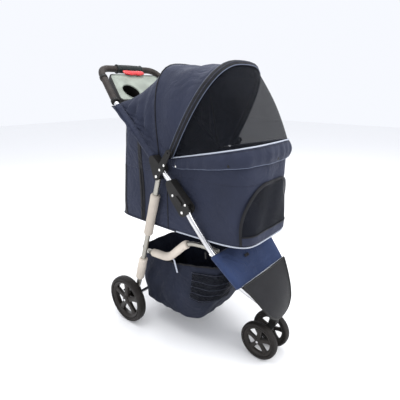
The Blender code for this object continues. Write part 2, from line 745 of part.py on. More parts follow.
def fork_head():
    """Moulded head that holds both front tubes and the caster's upright spindle."""
    profile = [(0.0062, HEAD_TOP), (0.013, HEAD_TOP), (0.0165, HEAD_TOP - 0.004),
               (0.0165, HEAD_LOW + 0.003), (0.0150, HEAD_LOW), (0.0062, HEAD_LOW)]
    head = lathe("fork_head", profile, (0.0, SWIVEL_Y, 0.0), "black_plastic", 20, (0.0, 0.0, 0.0))
    mesh = bpy.data.meshes.new_from_object(
        head.evaluated_get(bpy.context.evaluated_depsgraph_get()))
    head.modifiers.clear()
    head.data = mesh
    for side in (1, -1):
        points = front_tube_points(side)
        run = (points[-1] - points[-2]).normalized()
        start = points[-1] - run * 0.018
        collar = rod("collar", start, points[-1] + run * 0.014, TUBE_R + 0.0040, 16, None, CUTTERS)
        join(head, collar)
        cut(head, rod("socket", start - run * 0.02, points[-1] + run * 0.0005, TUBE_R + GAP, 16,
                      None, CUTTERS))
    cut(head, rod("spindle", (0, SWIVEL_Y, HEAD_LOW - 0.02), (0, SWIVEL_Y, HEAD_TOP + 0.02),
                  0.0062, 16, None, CUTTERS))
    place(head, "black_plastic")


def front_shield():
    """Curved mesh-pattern guard between the front tubes, ahead of the basket."""
    outline = ((0.322, 0.1390), (0.280, 0.1160), (0.245, 0.0980), (0.215, 0.0800),
               (0.195, 0.0580), (0.183, 0.0330), (0.177, 0.0100))
    high, low = outline[0][0], outline[-1][0]
    rows = []
    for z, half in outline:
        t = (high - z) / (high - low)
        y = mix(SHIELD_TOP[0] - 0.017, SWIVEL_Y - 0.028, 1 - (1 - t) ** 1.5)
        bow = 0.003 + 0.007 * math.sin(math.pi * t)
        rows.append([Vector((half * u, y - bow * (1 - u * u), z)) for u in
                     [mix(-1.0, 1.0, k / 10) for k in range(11)]])
    surface("front_shield", rows, "black_plastic", thickness=0.0030)


def front_panel():
    """Fabric panel stretched in front of the front tubes, above the guard."""
    top, low = (-0.2060, 0.4260), SHIELD_TOP
    ahead = Vector((0.0, -0.73, 0.68)) * 0.0122
    rows = []
    for i in range(4):
        t = i / 3
        half = mix(0.1600, 0.1400, t)
        y, z = mix(top[0], low[0], t), mix(top[1], low[1], t)
        rows.append([Vector((half * u, y, z)) + ahead for u in (-1.0, -0.6, -0.2, 0.2, 0.6, 1.0)])
    surface("front_panel", rows, "navy_fabric", thickness=0.0020)


def caster_fork():
    """Turning yoke: a spindle in the head and an arm down to the axle between the wheels."""
    plate_top = HEAD_LOW - 0.0008
    outline = [(SWIVEL_Y - 0.013, plate_top), (SWIVEL_Y - 0.013, plate_top - 0.012),
               (FRONT_AXLE[0] - 0.016, FRONT_AXLE[1] + 0.010),
               *circle(FRONT_AXLE, 0.0150, 8, math.radians(200), math.radians(160)),
               (FRONT_AXLE[0] + 0.013, FRONT_AXLE[1] + 0.020),
               (SWIVEL_Y + 0.016, plate_top - 0.016), (SWIVEL_Y + 0.013, plate_top)]
    arm = plate("caster_fork", outline, -0.0130, 0.0130)
    join(arm, rod("spindle", (0, SWIVEL_Y, plate_top - 0.006), (0, SWIVEL_Y, HEAD_TOP + 0.004),
                  0.0058, 16, None, CUTTERS))
    drill(arm, FRONT_AXLE, 0.0045 + GAP, -0.03, 0.03)
    place(arm, "black_plastic")
    set_origin(arm, (0.0, SWIVEL_Y, HEAD_LOW))


def front_wheel(side):
    centre = at_x(side * FRONT_TRACK, FRONT_AXLE)
    rim_r = FRONT_WHEEL_R - 0.014
    tyre("front_tyre_" + side_name(side), centre, FRONT_WHEEL_R, FRONT_WHEEL_W, rim_r)
    rim("front_rim_" + side_name(side), centre, rim_r, 0.013, 0.013, 0.0260, 0.0049)


# ---------------------------------------------------------------- cabin and canopy
def cabin():
    heights = (CABIN_FLOOR + 0.012, 0.560, CABIN_SPLIT - GAP)
    rings = [cabin_ring(CABIN_FLOOR, 0.012)] + [cabin_ring(z) for z in heights]
    surface("cabin_lower", rings, "navy_fabric", ring=True, floor=True)

    def rim_line(share):
        return lambda y: mix(CABIN_SPLIT + 0.0001, rim_height(y), share)

    plan = [cabin_ring(mix(CABIN_SPLIT, 0.868, s), 0.0, 40, rim_line(s)) for s in (0.0, 0.5, 1.0)]
    surface("cabin_upper", plan, "navy_fabric", ring=True)


def cabin_slab(name, low, high, inset, mat):
    """A board or pad in the cabin's plan, with a small gap to the walls."""
    outline = [(p.x, p.y) for p in cabin_ring(CABIN_FLOOR + 0.02, inset, 28)]
    level = Matrix.Translation((0.0, 0.0, (low + high) / 2))
    place(slab(name, (outline,), high - low, level), mat)


def door_window():
    """Zipped mesh door sewn on the front wall."""
    rows = []
    for i in range(8):
        t = i / 7
        z = mix(0.470, 0.648, t)
        half = 0.126 * (1 - max(0.0, (t - 0.15) / 0.86) ** 3) ** (1 / 3.0)
        square = mix(6.0, 4.0, (z - CABIN_FLOOR) / 0.3165)
        row = []
        for k in range(11):
            x = half * mix(-1.0, 1.0, k / 10)
            depth = (1 - (abs(x) / CABIN_HALF) ** square) ** (1 / square)
            row.append(Vector((x, CABIN_MID_Y - 0.290 * depth - 0.0046, z)))
        rows.append(row)
    surface("front_door", rows, "black_mesh", thickness=0.0015)


def canopy():
    rows = [arch(*between(REAR_BOW, REAR_EDGE, t), mix(3.0, 2.6, t), CABIN_HALF + LAP)
            for t in (0.004, 0.25, 0.5, 0.75, 1.0)]
    surface("canopy_rear", [list(reversed(r)) for r in lift_base(rows, 0.0012)], "navy_fabric")
    rows = [arch(*between(REAR_BOW, FRONT_BOW, t, (0.0, 0.006)), 3.0, CABIN_HALF + LAP)
            for t in (0.004, 0.25, 0.5, 0.75, 0.985)]
    surface("canopy_roof", lift_base(rows, 0.0012), "navy_fabric")
    rows = [arch(*between(FRONT_BOW, RAIL, t, (-0.012, 0.006)), mix(3.0, 4.0, t), CABIN_HALF + LAP)
            for t in (0.012, 0.25, 0.5, 0.75, 1.0)]
    surface("canopy_window", lift_base(rows, 0.0012), "black_mesh", thickness=0.0012)


def lift_base(rows, rise):
    """Raise a sheet a little, so that its lower edge stays clear of the cabin's rim."""
    return [[p + Vector((0.0, 0.0, rise)) for p in row] for row in rows]


def bow(name, ends, square, half, radius, foot=None):
    """A bent rod over the cabin; the front one runs on down to its pivots."""
    path = arch(ends[0], ends[1], square, half, 20, 0.0)
    if foot:
        path = [Vector((foot[0], *foot[1]))] + path[1:-1] + [Vector((-foot[0], *foot[1]))]
    return tube(name, path, radius, "black_plastic")


def bows():
    low, high = REAR_BOW
    bow("rear_bow", ((low[0] + 0.002, low[1] + 0.010), (high[0], high[1] - 0.0085)), 3.0,
        CABIN_HALF - 0.0085, 0.0035)
    low, high = FRONT_BOW
    front = bow("front_bow", (low, (high[0] - 0.0040, high[1] + 0.0085)), 3.0,
                CABIN_HALF + LAP + 0.0060, 0.0045, (0.1880, BOW_PIVOT))
    set_origin(front, at_x(0.0, BOW_PIVOT))


# ---------------------------------------------------------------- basket
def basket():
    """Fabric bag slung between the side links, open on top."""
    def ring(z, half, rear, front, rise=0.0, count=28):
        middle, reach = (rear + front) / 2, (rear - front) / 2
        points = []
        for i in range(count):
            angle = 2 * math.pi * i / count
            y = middle + reach * power(math.sin(angle), 2 / 5.0)
            x = half * power(math.cos(angle), 2 / 5.0)
            points.append(Vector((x, y, z + rise * max(0.0, (middle - y) / reach))))
        return points

    rings = [ring(0.086, 0.128, 0.188, -0.090), ring(0.096, 0.143, 0.197, -0.112),
             ring(0.190, 0.143, 0.214, -0.165), ring(0.260, 0.133, 0.230, -0.200, 0.02),
             ring(0.295, 0.127, 0.242, -0.214, 0.055)]
    surface("basket", rings, "navy_fabric", ring=True, floor=True)


# ---------------------------------------------------------------- assembly
for side in (1, -1):
    handle_tube(side)
    pivot_bracket(side)
    lock_housing(side)
    lock_latch(side)
    rear_leg(side)
    leg_foam(side)
    axle_bracket(side)
    brake_lever(side)
    rear_wheel(side)
    side_link(side)
    link_foam(side)
    front_tube(side)
    front_wheel(side)
    mark = side_name(side)
    pin("side_pin_" + mark, SIDE_PIVOT, side * (FRAME_X - 0.0150), side * (FRAME_X + 0.0150))
    pin("lock_pin_" + mark, LOCK_PIVOT, side * (FRAME_X - 0.0145), side * (FRAME_X + 0.0145))
    pin("link_pin_" + mark, LEG_PIVOT, side * (LINK_X["leg"] - 0.0095),
        side * (LINK_X["leg"] + 0.0095))
handle_loop()
handle_grip()
fold_trigger()
tray()
rear_axle()
fork_head()
front_shield()
front_panel()
caster_fork()
rod("front_axle", (-0.0600, *FRONT_AXLE), (0.0600, *FRONT_AXLE), 0.0045, 16, "steel")
cabin()
cabin_slab("floor_board", CABIN_FLOOR + 0.0035, CABIN_FLOOR + 0.0085, 0.0165, "board")
cabin_slab("floor_cushion", CABIN_FLOOR + 0.0090, CABIN_FLOOR + 0.0330, 0.0100, "navy_fabric")
door_window()
canopy()
bows()
basket()
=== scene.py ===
import json
import math

import bmesh
import bpy
import numpy as np
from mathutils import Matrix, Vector


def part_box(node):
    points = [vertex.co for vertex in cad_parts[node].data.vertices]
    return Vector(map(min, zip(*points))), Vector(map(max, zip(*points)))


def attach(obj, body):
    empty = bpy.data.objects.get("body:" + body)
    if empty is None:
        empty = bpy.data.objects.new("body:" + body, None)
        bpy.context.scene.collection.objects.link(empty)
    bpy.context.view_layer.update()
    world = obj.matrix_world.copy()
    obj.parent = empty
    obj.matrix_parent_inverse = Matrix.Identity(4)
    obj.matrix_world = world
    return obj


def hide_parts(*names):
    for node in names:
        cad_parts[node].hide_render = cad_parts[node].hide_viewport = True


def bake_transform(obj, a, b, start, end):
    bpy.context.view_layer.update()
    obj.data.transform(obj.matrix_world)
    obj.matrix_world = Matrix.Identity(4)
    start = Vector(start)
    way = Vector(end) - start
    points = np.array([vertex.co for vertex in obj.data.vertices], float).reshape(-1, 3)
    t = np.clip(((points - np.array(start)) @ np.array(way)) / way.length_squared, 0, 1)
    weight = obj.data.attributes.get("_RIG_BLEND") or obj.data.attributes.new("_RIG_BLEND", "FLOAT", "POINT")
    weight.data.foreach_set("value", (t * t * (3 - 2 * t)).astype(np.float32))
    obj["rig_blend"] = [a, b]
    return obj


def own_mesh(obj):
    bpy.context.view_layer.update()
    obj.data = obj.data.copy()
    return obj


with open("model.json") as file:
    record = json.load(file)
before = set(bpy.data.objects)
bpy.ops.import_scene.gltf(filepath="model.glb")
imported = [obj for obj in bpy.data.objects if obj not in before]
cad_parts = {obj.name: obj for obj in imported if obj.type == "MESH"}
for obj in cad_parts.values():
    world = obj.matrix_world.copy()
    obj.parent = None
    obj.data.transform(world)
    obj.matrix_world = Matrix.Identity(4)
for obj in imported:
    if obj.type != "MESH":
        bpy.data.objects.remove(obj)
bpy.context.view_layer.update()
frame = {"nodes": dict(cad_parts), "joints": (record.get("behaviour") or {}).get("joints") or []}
nodes = frame["nodes"]
pivot = {joint["name"]: np.array(joint["pos_m"]) for joint in frame["joints"] if "pos_m" in joint}
SIDES = (("left", 1), ("right", -1))

# ---------------------------------------------------------------- studio
# A pale matt floor under soft light: broad lamps ahead of and above the stroller, weaker ones on
# its right side and behind it, and a camera at chest height off its right front corner.
floor_mesh = bpy.data.meshes.new("studio_floor")
FLOOR_REACH = 9
floor_corners = [(x * FLOOR_REACH, y * FLOOR_REACH, 0) for x, y in ((-1, -1), (1, -1), (1, 1), (-1, 1))]
floor_mesh.from_pydata(floor_corners, [], [(0, 1, 2, 3)])
floor = bpy.data.objects.new("studio_floor", floor_mesh)
bpy.context.scene.collection.objects.link(floor)
floor_paint = bpy.data.materials.new("floor_paint")
floor_paint.use_nodes = True
floor_shader = floor_paint.node_tree.nodes["Principled BSDF"]
floor_shader.inputs["Base Color"].default_value = (0.93, 0.93, 0.935, 1.0)
floor_shader.inputs["Roughness"].default_value = 0.9
floor_mesh.materials.append(floor_paint)

world = bpy.data.worlds.new("studio")
world.use_nodes = True
world.node_tree.nodes["Background"].inputs["Color"].default_value = (0.93, 0.95, 1.0, 1.0)
world.node_tree.nodes["Background"].inputs["Strength"].default_value = 1.0
bpy.context.scene.world = world
bpy.context.scene.view_settings.view_transform = "Standard"


def look(obj, spot, target):
    """Put a lamp or camera at a spot, facing a target, with +Z up."""
    obj.location = spot
    obj.rotation_mode = "QUATERNION"
    obj.rotation_quaternion = (Vector(target) - Vector(spot)).to_track_quat("-Z", "Y")


LAMPS = (("key", (0.6, -2.6, 2.5), 62, 1.8), ("top", (-0.2, 0.2, 3.0), 42, 2.2),
         ("side", (-2.8, 0.4, 1.5), 16, 1.8), ("back", (1.6, 2.4, 1.8), 22, 1.6))
LAMP_TARGET = (0, 0, 0.5)
for name, spot, power, size in LAMPS:
    lamp = bpy.data.lights.new(name, "AREA")
    lamp.energy = power
    lamp.size = size
    lamp_object = bpy.data.objects.new(name, lamp)
    bpy.context.scene.collection.objects.link(lamp_object)
    look(lamp_object, spot, LAMP_TARGET)

camera_data = bpy.data.cameras.new("camera")
camera_data.lens = 31.19
camera_data.sensor_width = 36.0
camera = bpy.data.objects.new("camera", camera_data)
bpy.context.scene.collection.objects.link(camera)
CAMERA_SPOT = Vector((-0.967, -0.823, 0.929))
CAMERA_TURN, CAMERA_DROP = 0.7005, 0.3109
camera_way = Vector((math.cos(CAMERA_TURN) * math.cos(CAMERA_DROP),
                     math.sin(CAMERA_TURN) * math.cos(CAMERA_DROP), -math.sin(CAMERA_DROP)))
look(camera, CAMERA_SPOT, CAMERA_SPOT + camera_way)
bpy.context.scene.camera = camera


# ---------------------------------------------------------------- handle tubes
# Drawn steel tube, 19 mm across, lacquered satin silver. One length on each side runs from the
# lock housing up through the side bracket and into the padded loop.
def node(tree, kind, ins=None, **settings):
    """Add a shader node, set its options, and fill or join its inputs."""
    made = tree.nodes.new(kind)
    for key, value in settings.items():
        setattr(made, key, value)
    for socket, value in (ins or {}).items():
        if isinstance(value, bpy.types.NodeSocket):
            tree.links.new(value, made.inputs[socket])
        else:
            made.inputs[socket].default_value = value
    return made


def new_group(name, inputs, outputs):
    """An empty shader group with named sockets; gives the tree and its two end nodes."""
    tree = bpy.data.node_groups.new(name, "ShaderNodeTree")
    for label, kind, value in inputs:
        socket = tree.interface.new_socket(name=label, in_out="INPUT", socket_type=kind)
        if value is not None:
            socket.default_value = value
    for label, kind in outputs:
        tree.interface.new_socket(name=label, in_out="OUTPUT", socket_type=kind)
    return tree, node(tree, "NodeGroupInput"), node(tree, "NodeGroupOutput")


def make_mottle():
    """Cloudy colour and gloss: two sizes of noise shade a base colour and its roughness."""
    tree, given, result = new_group(
        "mottle",
        (("Colour", "NodeSocketColor", None), ("Roughness", "NodeSocketFloat", 0.5),
         ("Scale", "NodeSocketFloat", 20.0), ("Shade", "NodeSocketFloat", 0.2),
         ("Gloss", "NodeSocketFloat", 0.1)),
        (("Colour", "NodeSocketColor"), ("Roughness", "NodeSocketFloat")))
    place = node(tree, "ShaderNodeTexCoord")
    wide = node(tree, "ShaderNodeTexNoise", {"Vector": place.outputs["Object"],
                                             "Scale": given.outputs["Scale"], "Detail": 5.0})
    dark = node(tree, "ShaderNodeMapRange", {"Value": wide.outputs["Fac"], "From Min": 0.3,
                                             "From Max": 0.7, "To Min": -1.0, "To Max": 1.0})
    swing = node(tree, "ShaderNodeMath", {0: dark.outputs[0], 1: given.outputs["Shade"]},
                 operation="MULTIPLY")
    factor = node(tree, "ShaderNodeMath", {0: swing.outputs[0], 1: 1.0}, operation="ADD")
    shade = node(tree, "ShaderNodeVectorMath", {0: given.outputs["Colour"],
                                                "Scale": factor.outputs[0]}, operation="SCALE")
    fine = node(tree, "ShaderNodeTexNoise", {"Vector": place.outputs["Object"], "Scale": 160.0,
                                             "Detail": 3.0})
    speck = node(tree, "ShaderNodeMath", {0: fine.outputs["Fac"], 1: -0.5}, operation="ADD")
    rise = node(tree, "ShaderNodeMath", {0: speck.outputs[0], 1: given.outputs["Gloss"],
                                         2: given.outputs["Roughness"]}, operation="MULTIPLY_ADD")
    tree.links.new(shade.outputs[0], result.inputs["Colour"])
    tree.links.new(rise.outputs[0], result.inputs["Roughness"])
    return tree


mottle = make_mottle()
# A dark finish reflects less than a pale one, so it stays black under the lamps.
DARK, DARK_GLOSS, PALE_GLOSS = 0.1, 0.22, 0.5


def finish_start(name, colour, roughness, scale, shade, gloss):
    """A new material whose colour and roughness come through the mottle group."""
    made = bpy.data.materials.new(name)
    made.use_nodes = True
    tree = made.node_tree
    shader = tree.nodes["Principled BSDF"]
    cloud = node(tree, "ShaderNodeGroup",
                 {"Colour": (*colour, 1.0), "Roughness": roughness, "Scale": scale,
                  "Shade": shade, "Gloss": gloss}, node_tree=mottle)
    tree.links.new(cloud.outputs["Colour"], shader.inputs["Base Color"])
    tree.links.new(cloud.outputs["Roughness"], shader.inputs["Roughness"])
    reflects = PALE_GLOSS if max(colour) > DARK else DARK_GLOSS
    shader.inputs["Specular IOR Level"].default_value = reflects
    return made, tree, shader


def bumpy(tree, shader, height, strength, distance):
    """Let a height drive the shader's normal."""
    bump = node(tree, "ShaderNodeBump", {"Height": height, "Strength": strength,
                                         "Distance": distance})
    tree.links.new(bump.outputs["Normal"], shader.inputs["Normal"])


def make_grain():
    """Fine relief at one scale: noise for rubbed skins, round cells for moulded ones."""
    tree, given, result = new_group(
        "grain", (("Scale", "NodeSocketFloat", 300.0), ("Detail", "NodeSocketFloat", 2.0)),
        (("Noise", "NodeSocketFloat"), ("Cells", "NodeSocketFloat")))
    place = node(tree, "ShaderNodeTexCoord")
    noise = node(tree, "ShaderNodeTexNoise", {"Vector": place.outputs["Object"],
                                              "Scale": given.outputs["Scale"],
                                              "Detail": given.outputs["Detail"]})
    cells = node(tree, "ShaderNodeTexVoronoi", {"Vector": place.outputs["Object"],
                                                "Scale": given.outputs["Scale"]})
    tree.links.new(noise.outputs["Fac"], result.inputs["Noise"])
    tree.links.new(cells.outputs["Distance"], result.inputs["Cells"])
    return tree


grain = make_grain()


def relief(tree, kind, scale, detail=2.0):
    """The height of the grain's noise or cells, at a scale."""
    return node(tree, "ShaderNodeGroup", {"Scale": scale, "Detail": detail}, node_tree=grain).outputs[kind]


def metal(name, colour, roughness):
    """Bare or lacquered metal with faint handling marks."""
    made, tree, shader = finish_start(name, colour, roughness, 14.0, 0.10, 0.16)
    shader.inputs["Metallic"].default_value = 0.95
    bumpy(tree, shader, relief(tree, "Noise", 420.0), 0.08, 0.0004)
    return made


tube_silver = metal("tube_silver", (0.60, 0.60, 0.61), 0.24)
tube_olive = metal("tube_olive", (0.36, 0.345, 0.305), 0.36)
rivet_bright = metal("rivet_bright", (0.80, 0.79, 0.76), 0.20)


def surface(name, points, ring=False, loop=False, caps=False, inside=None):
    """A mesh over a grid of points: each four neighbours are one face.

    ring joins the last column to the first, loop the last row to the first, and caps closes
    the first and last rows with a fan about their middles; "first" closes the first only.
    Lengths along the grid are its UV, and faces turn away from inside, or from the middle."""
    rows, cols = points.shape[:2]
    index = np.arange(rows * cols).reshape(rows, cols)
    grid = points
    if ring:
        index = np.concatenate([index, index[:, :1]], 1)
        grid = np.concatenate([grid, grid[:, :1]], 1)
    if loop:
        index = np.concatenate([index, index[:1]], 0)
        grid = np.concatenate([grid, grid[:1]], 0)
    across = np.linalg.norm(np.diff(grid, axis=1), axis=2).mean(0)
    along = np.linalg.norm(np.diff(grid, axis=0), axis=2).mean(1)
    u, v = np.meshgrid(np.concatenate([[0], across.cumsum()]), np.concatenate([[0], along.cumsum()]))
    corners = [(slice(None, -1), slice(None, -1)), (slice(None, -1), slice(1, None)),
               (slice(1, None), slice(1, None)), (slice(1, None), slice(None, -1))]
    faces = np.stack([index[c] for c in corners], -1).reshape(-1, 4).tolist()
    uv = np.stack([np.stack([u[c], v[c]], -1) for c in corners], 2).reshape(-1, 2)
    verts = points.reshape(-1, 3)
    ends = ((0, 1), (0,))[caps == "first"] if caps else ()
    for end in ends:
        tip, edge = len(verts), index[-end][::1 - 2 * end]
        verts = np.concatenate([verts, points[-end].mean(0)[None]])
        faces += [(tip, b, a) for a, b in zip(edge[:-1].tolist(), edge[1:].tolist())]
        uv = np.concatenate([uv, np.zeros((3 * (len(edge) - 1), 2))])
    mesh = bpy.data.meshes.new(name)
    mesh.from_pydata(verts.tolist(), [], faces)
    layer = mesh.uv_layers.new(name="UVMap")
    layer.data.foreach_set("uv", uv.astype(np.float32).ravel())
    centres = np.zeros(len(mesh.polygons) * 3, np.float32)
    normals = np.zeros_like(centres)
    areas = np.zeros(len(mesh.polygons), np.float32)
    mesh.polygons.foreach_get("center", centres)
    mesh.polygons.foreach_get("normal", normals)
    mesh.polygons.foreach_get("area", areas)
    middle = verts.mean(0) if inside is None else np.array(inside)
    outward = ((centres.reshape(-1, 3) - middle) * normals.reshape(-1, 3)).sum(1) * areas
    if outward.sum() < 0:
        mesh.flip_normals()
    mesh.shade_smooth()
    obj = bpy.data.objects.new(name, mesh)
    bpy.context.scene.collection.objects.link(obj)
    return obj


def rounded(before, corner, after, radius):
    """A quadratic arc round a corner, from one neighbour's side to the other's."""
    share = np.linspace(0, 1, 9)[:, None]
    back, ahead = before - corner, after - corner
    a = corner + back / np.linalg.norm(back) * min(radius, np.linalg.norm(back) * 0.49)
    b = corner + ahead / np.linalg.norm(ahead) * min(radius, np.linalg.norm(ahead) * 0.49)
    return a * (1 - share) ** 2 + corner * 2 * share * (1 - share) + b * share ** 2


def bend(points, radius, step=0.006):
    """A path through points: straight runs joined by quadratic arcs, with even short steps."""
    pts = [np.array(p, float) for p in points]
    path = [pts[0]]
    for before, corner, after in zip(pts, pts[1:], pts[2:]):
        path.extend(rounded(before, corner, after, radius))
    path.append(pts[-1])
    return evenly(np.array(path), step)


def evenly(path, step):
    """The same path with points a fixed distance apart, by its length."""
    run = np.concatenate([[0], np.linalg.norm(np.diff(path, axis=0), axis=1).cumsum()])
    at = np.linspace(0, run[-1], max(3, int(run[-1] / step) + 1))
    return np.stack([np.interp(at, run, path[:, k]) for k in range(3)], 1)


def tangents(path, closed=False):
    """Unit direction at each point of a path."""
    if closed:
        run = np.roll(path, -1, 0) - np.roll(path, 1, 0)
    else:
        run = np.gradient(path, axis=0)
    return run / np.linalg.norm(run, axis=1, keepdims=True)


def carry(name, path, section, across, closed=False, scale=None, **how):
    """A section carried along a path. across gives the section's first direction at each
    point; its second is square to that and to the path."""
    run = tangents(path, closed)
    side = across - (across * run).sum(1, keepdims=True) * run
    side = side / np.linalg.norm(side, axis=1, keepdims=True)
    up = np.cross(run, side)
    size = np.ones(len(path)) if scale is None else scale
    grid = (path[:, None] + side[:, None] * section[None, :, :1] * size[:, None, None]
            + up[:, None] * section[None, :, 1:] * size[:, None, None])
    return surface(name, grid, ring=True, loop=closed, caps=not closed, **how)


def steady(path):
    """A sideways direction along a path that never twists: each is the last one, turned only
    as far as the path turns."""
    run = tangents(path)
    first = np.cross(run[0], (0.3, 0.2, 1.0))
    out = [first / np.linalg.norm(first)]
    for t in run[1:]:
        kept = out[-1] - t * np.dot(out[-1], t)
        out.append(kept / np.linalg.norm(kept))
    return np.array(out)


def circle(radius, count=24):
    """A circle as a section."""
    turn = np.linspace(0, 2 * np.pi, count, endpoint=False)
    return np.stack([np.cos(turn), np.sin(turn)], 1) * radius


def tube(name, path, radius, count=24, round_end=0.0):
    """A round tube along a path; round_end draws its two ends in over that length."""
    run = np.concatenate([[0], np.linalg.norm(np.diff(path, axis=0), axis=1).cumsum()])
    scale = np.ones(len(path))
    if round_end:
        extra = round_end * (1 - np.cos(np.linspace(0, np.pi / 2, 6)))
        at = np.unique(np.concatenate([run, extra, run[-1] - extra]))
        path = np.stack([np.interp(at, run, path[:, k]) for k in range(3)], 1)
        near = np.clip(np.minimum(at, at[-1] - at) / round_end, 0, 1)
        scale = np.sqrt(np.clip(1 - (1 - near) ** 2, 0.02, 1))
    return carry(name, path, circle(radius, count), steady(path), scale=scale)


def fit(obj, body, slot, paint, *replaced):
    """Paint a piece, hang it on its body and hide the nodes it stands for; its slot is not used."""
    obj.data.materials.clear()
    obj.data.materials.append(paint)
    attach(obj, body)
    if replaced:
        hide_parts(*replaced)
    return obj


FRAME_X = float(abs(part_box("side_pin_left")[0].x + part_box("side_pin_left")[1].x)) / 2
TUBE_R = 0.0095
HANDLE_LOW, HANDLE_BEND = (-0.0940, 0.5918), (0.0600, 0.7276)
HANDLE_TOP = (0.1790, 0.2350, 0.8820)
for side, mark in SIDES:
    line = bend([(mark * FRAME_X, *HANDLE_LOW), (mark * FRAME_X, *HANDLE_BEND),
                 (mark * HANDLE_TOP[0], *HANDLE_TOP[1:])], 0.03)
    fit(tube("upright_tube_" + side, line, TUBE_R), "root", "frame_steel", tube_silver,
        "handle_tube_" + side)


# ---------------------------------------------------------------- side brackets and locks
# Black glass-filled nylon mouldings with eased edges, riveted through the tubes: the side
# bracket carries the rear leg and the canopy bow, the lock housing the front tube.
def moulded(name, colour, roughness, cells, depth):
    """Moulded plastic: cloudy gloss and a fine spark-eroded grain."""
    made, tree, shader = finish_start(name, colour, roughness, 18.0, 0.25, 0.25)
    bumpy(tree, shader, relief(tree, "Cells", cells), depth, 0.0004)
    return made


black_nylon = moulded("black_nylon", (0.011, 0.0105, 0.010), 0.42, 900.0, 0.22)


def softened(cad, name, width, segments=3):
    """A copy of a CAD piece with its flat faces made whole and its edges rounded off."""
    mesh = nodes[cad].data.copy()
    work = bmesh.new()
    work.from_mesh(mesh)
    bmesh.ops.remove_doubles(work, verts=work.verts, dist=0.00002)
    bmesh.ops.dissolve_limit(work, angle_limit=math.radians(2), verts=work.verts, edges=work.edges)
    work.to_mesh(mesh)
    work.free()
    for layer in list(mesh.attributes):
        if layer.name in ("custom_normal", "sharp_face", "sharp_edge"):
            mesh.attributes.remove(layer)
    mesh.shade_smooth()
    obj = bpy.data.objects.new(name, mesh)
    bpy.context.scene.collection.objects.link(obj)
    ease = obj.modifiers.new("eased_edges", "BEVEL")
    ease.width = width
    ease.segments = segments
    ease.limit_method = "ANGLE"
    ease.angle_limit = math.radians(28)
    ease.harden_normals = True
    return obj


def lathe(name, profile, spot, axis=(1, 0, 0), count=48, **how):
    """A profile of (height along the axis, radius) turned about the axis through a spot."""
    axis = np.array(axis, float)
    first = np.cross(axis, (0, 0, 1.0)) if abs(axis[2]) < 0.9 else np.array((1.0, 0, 0))
    first = first / np.linalg.norm(first)
    second = np.cross(axis, first)
    turn = np.linspace(0, 2 * np.pi, count, endpoint=False)
    ring = np.cos(turn)[:, None] * first + np.sin(turn)[:, None] * second
    shape = np.array(profile, float)
    grid = (np.array(spot, float) + shape[:, None, :1] * axis + shape[:, None, 1:] * ring[None])
    return surface(name, grid, ring=True, **how)


def rivet(name, spot, axis, radius, height):
    """A domed rivet head: a low cap over a short wall."""
    rise = np.linspace(0, np.pi / 2, 6)
    profile = [(-0.0012, radius), *((height * math.sin(a), radius * max(0.02, math.cos(a)))
                                    for a in rise)]
    return lathe(name, profile, spot, axis, 20, caps=True)


# A rivet head's radius and rise, and how far the mouldings stand out from the tubes' middle.
SMALL_RIVET, WIDE_RIVET, BRACKET_OUT = (0.0045, 0.0018), (0.0050, 0.0018), 0.0146
for side, mark in SIDES:
    fit(softened("pivot_bracket_" + side, "side_bracket_" + side, 0.0022), "root",
        "black_plastic", black_nylon, "pivot_bracket_" + side)
    fit(softened("lock_housing_" + side, "lock_body_" + side, 0.0030), "root",
        "black_plastic", black_nylon, "lock_housing_" + side)
    fit(softened("lock_latch_" + side, "lock_slider_" + side, 0.0010), "latch_" + side,
        "black_plastic", black_nylon, "lock_latch_" + side)
    face = mark * (FRAME_X + BRACKET_OUT)
    spots = {"bracket_rivet_low_": (-0.0038, 0.6746), "bracket_rivet_high_": (-0.0243, 0.6925),
             "lock_rivet_top_": (-0.0612, 0.5982), "lock_rivet_low_": (-0.1154, 0.5771)}
    for name, (y, z) in spots.items():
        fit(rivet(name + side, (face, y, z), (mark, 0, 0), *SMALL_RIVET), "root", "rivet_steel",
            rivet_bright)
    for name, cad in (("leg_rivet_", "side_pin_"), ("tube_rivet_", "lock_pin_")):
        low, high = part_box(cad + side)
        spot = (mark * FRAME_X, (low.y + high.y) / 2, (low.z + high.z) / 2)
        half = (high.x - low.x) / 2
        ends = [(half, 0.0002), (half, 0.0030), (half - 0.0007, 0.0048), (half - 0.0016, 0.0055)]
        profile = ends + [(half - 0.0016, 0.0030), (0.0016 - half, 0.0030)]
        profile += [(-h, r) for h, r in reversed(ends)]
        fit(lathe(name + side, profile, spot, (mark, 0, 0), 20, caps=True), "root", "rivet_steel",
            rivet_bright, cad + side)


# ---------------------------------------------------------------- rear legs
# Straight steel tubes pinned to the side brackets, cranked inwards and back just above the
# axle. Two beige foam sleeves are pushed on to each, with the side link's pivot between them.
SIDE_PIVOT, LOCK_PIVOT = pivot["rear_leg_fold"][1:], pivot["fold"][1:]
FRONT_PIVOT, BOW_PIVOT = pivot["side_link_fold"][1:], pivot["canopy"][1:]
low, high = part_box("link_pin_left")
LEG_PIVOT = np.array(((low.y + high.y) / 2, (low.z + high.z) / 2))
LEG_X, KNEE, LEG_END = 0.182, (0.1775, 0.1715, 0.1650), (0.1760, 0.2020, 0.1180)


def make_foam():
    """Closed-cell foam: pale and dull, with small pores and handling smudges."""
    made, tree, shader = finish_start("beige_foam", (0.56, 0.50, 0.43), 0.82, 9.0, 0.16, 0.2)
    both = node(tree, "ShaderNodeMath", {0: relief(tree, "Cells", 620.0),
                                         1: relief(tree, "Noise", 70.0, 4.0)}, operation="ADD")
    bumpy(tree, shader, both.outputs[0], 0.35, 0.0008)
    return made


beige_foam = make_foam()
FOAM_R = 0.0165
# Where each sleeve starts and ends, as shares of its run of tube.
UPPER_SLEEVE, LOWER_SLEEVE = (0.22, 0.72), (0.14, 0.74)


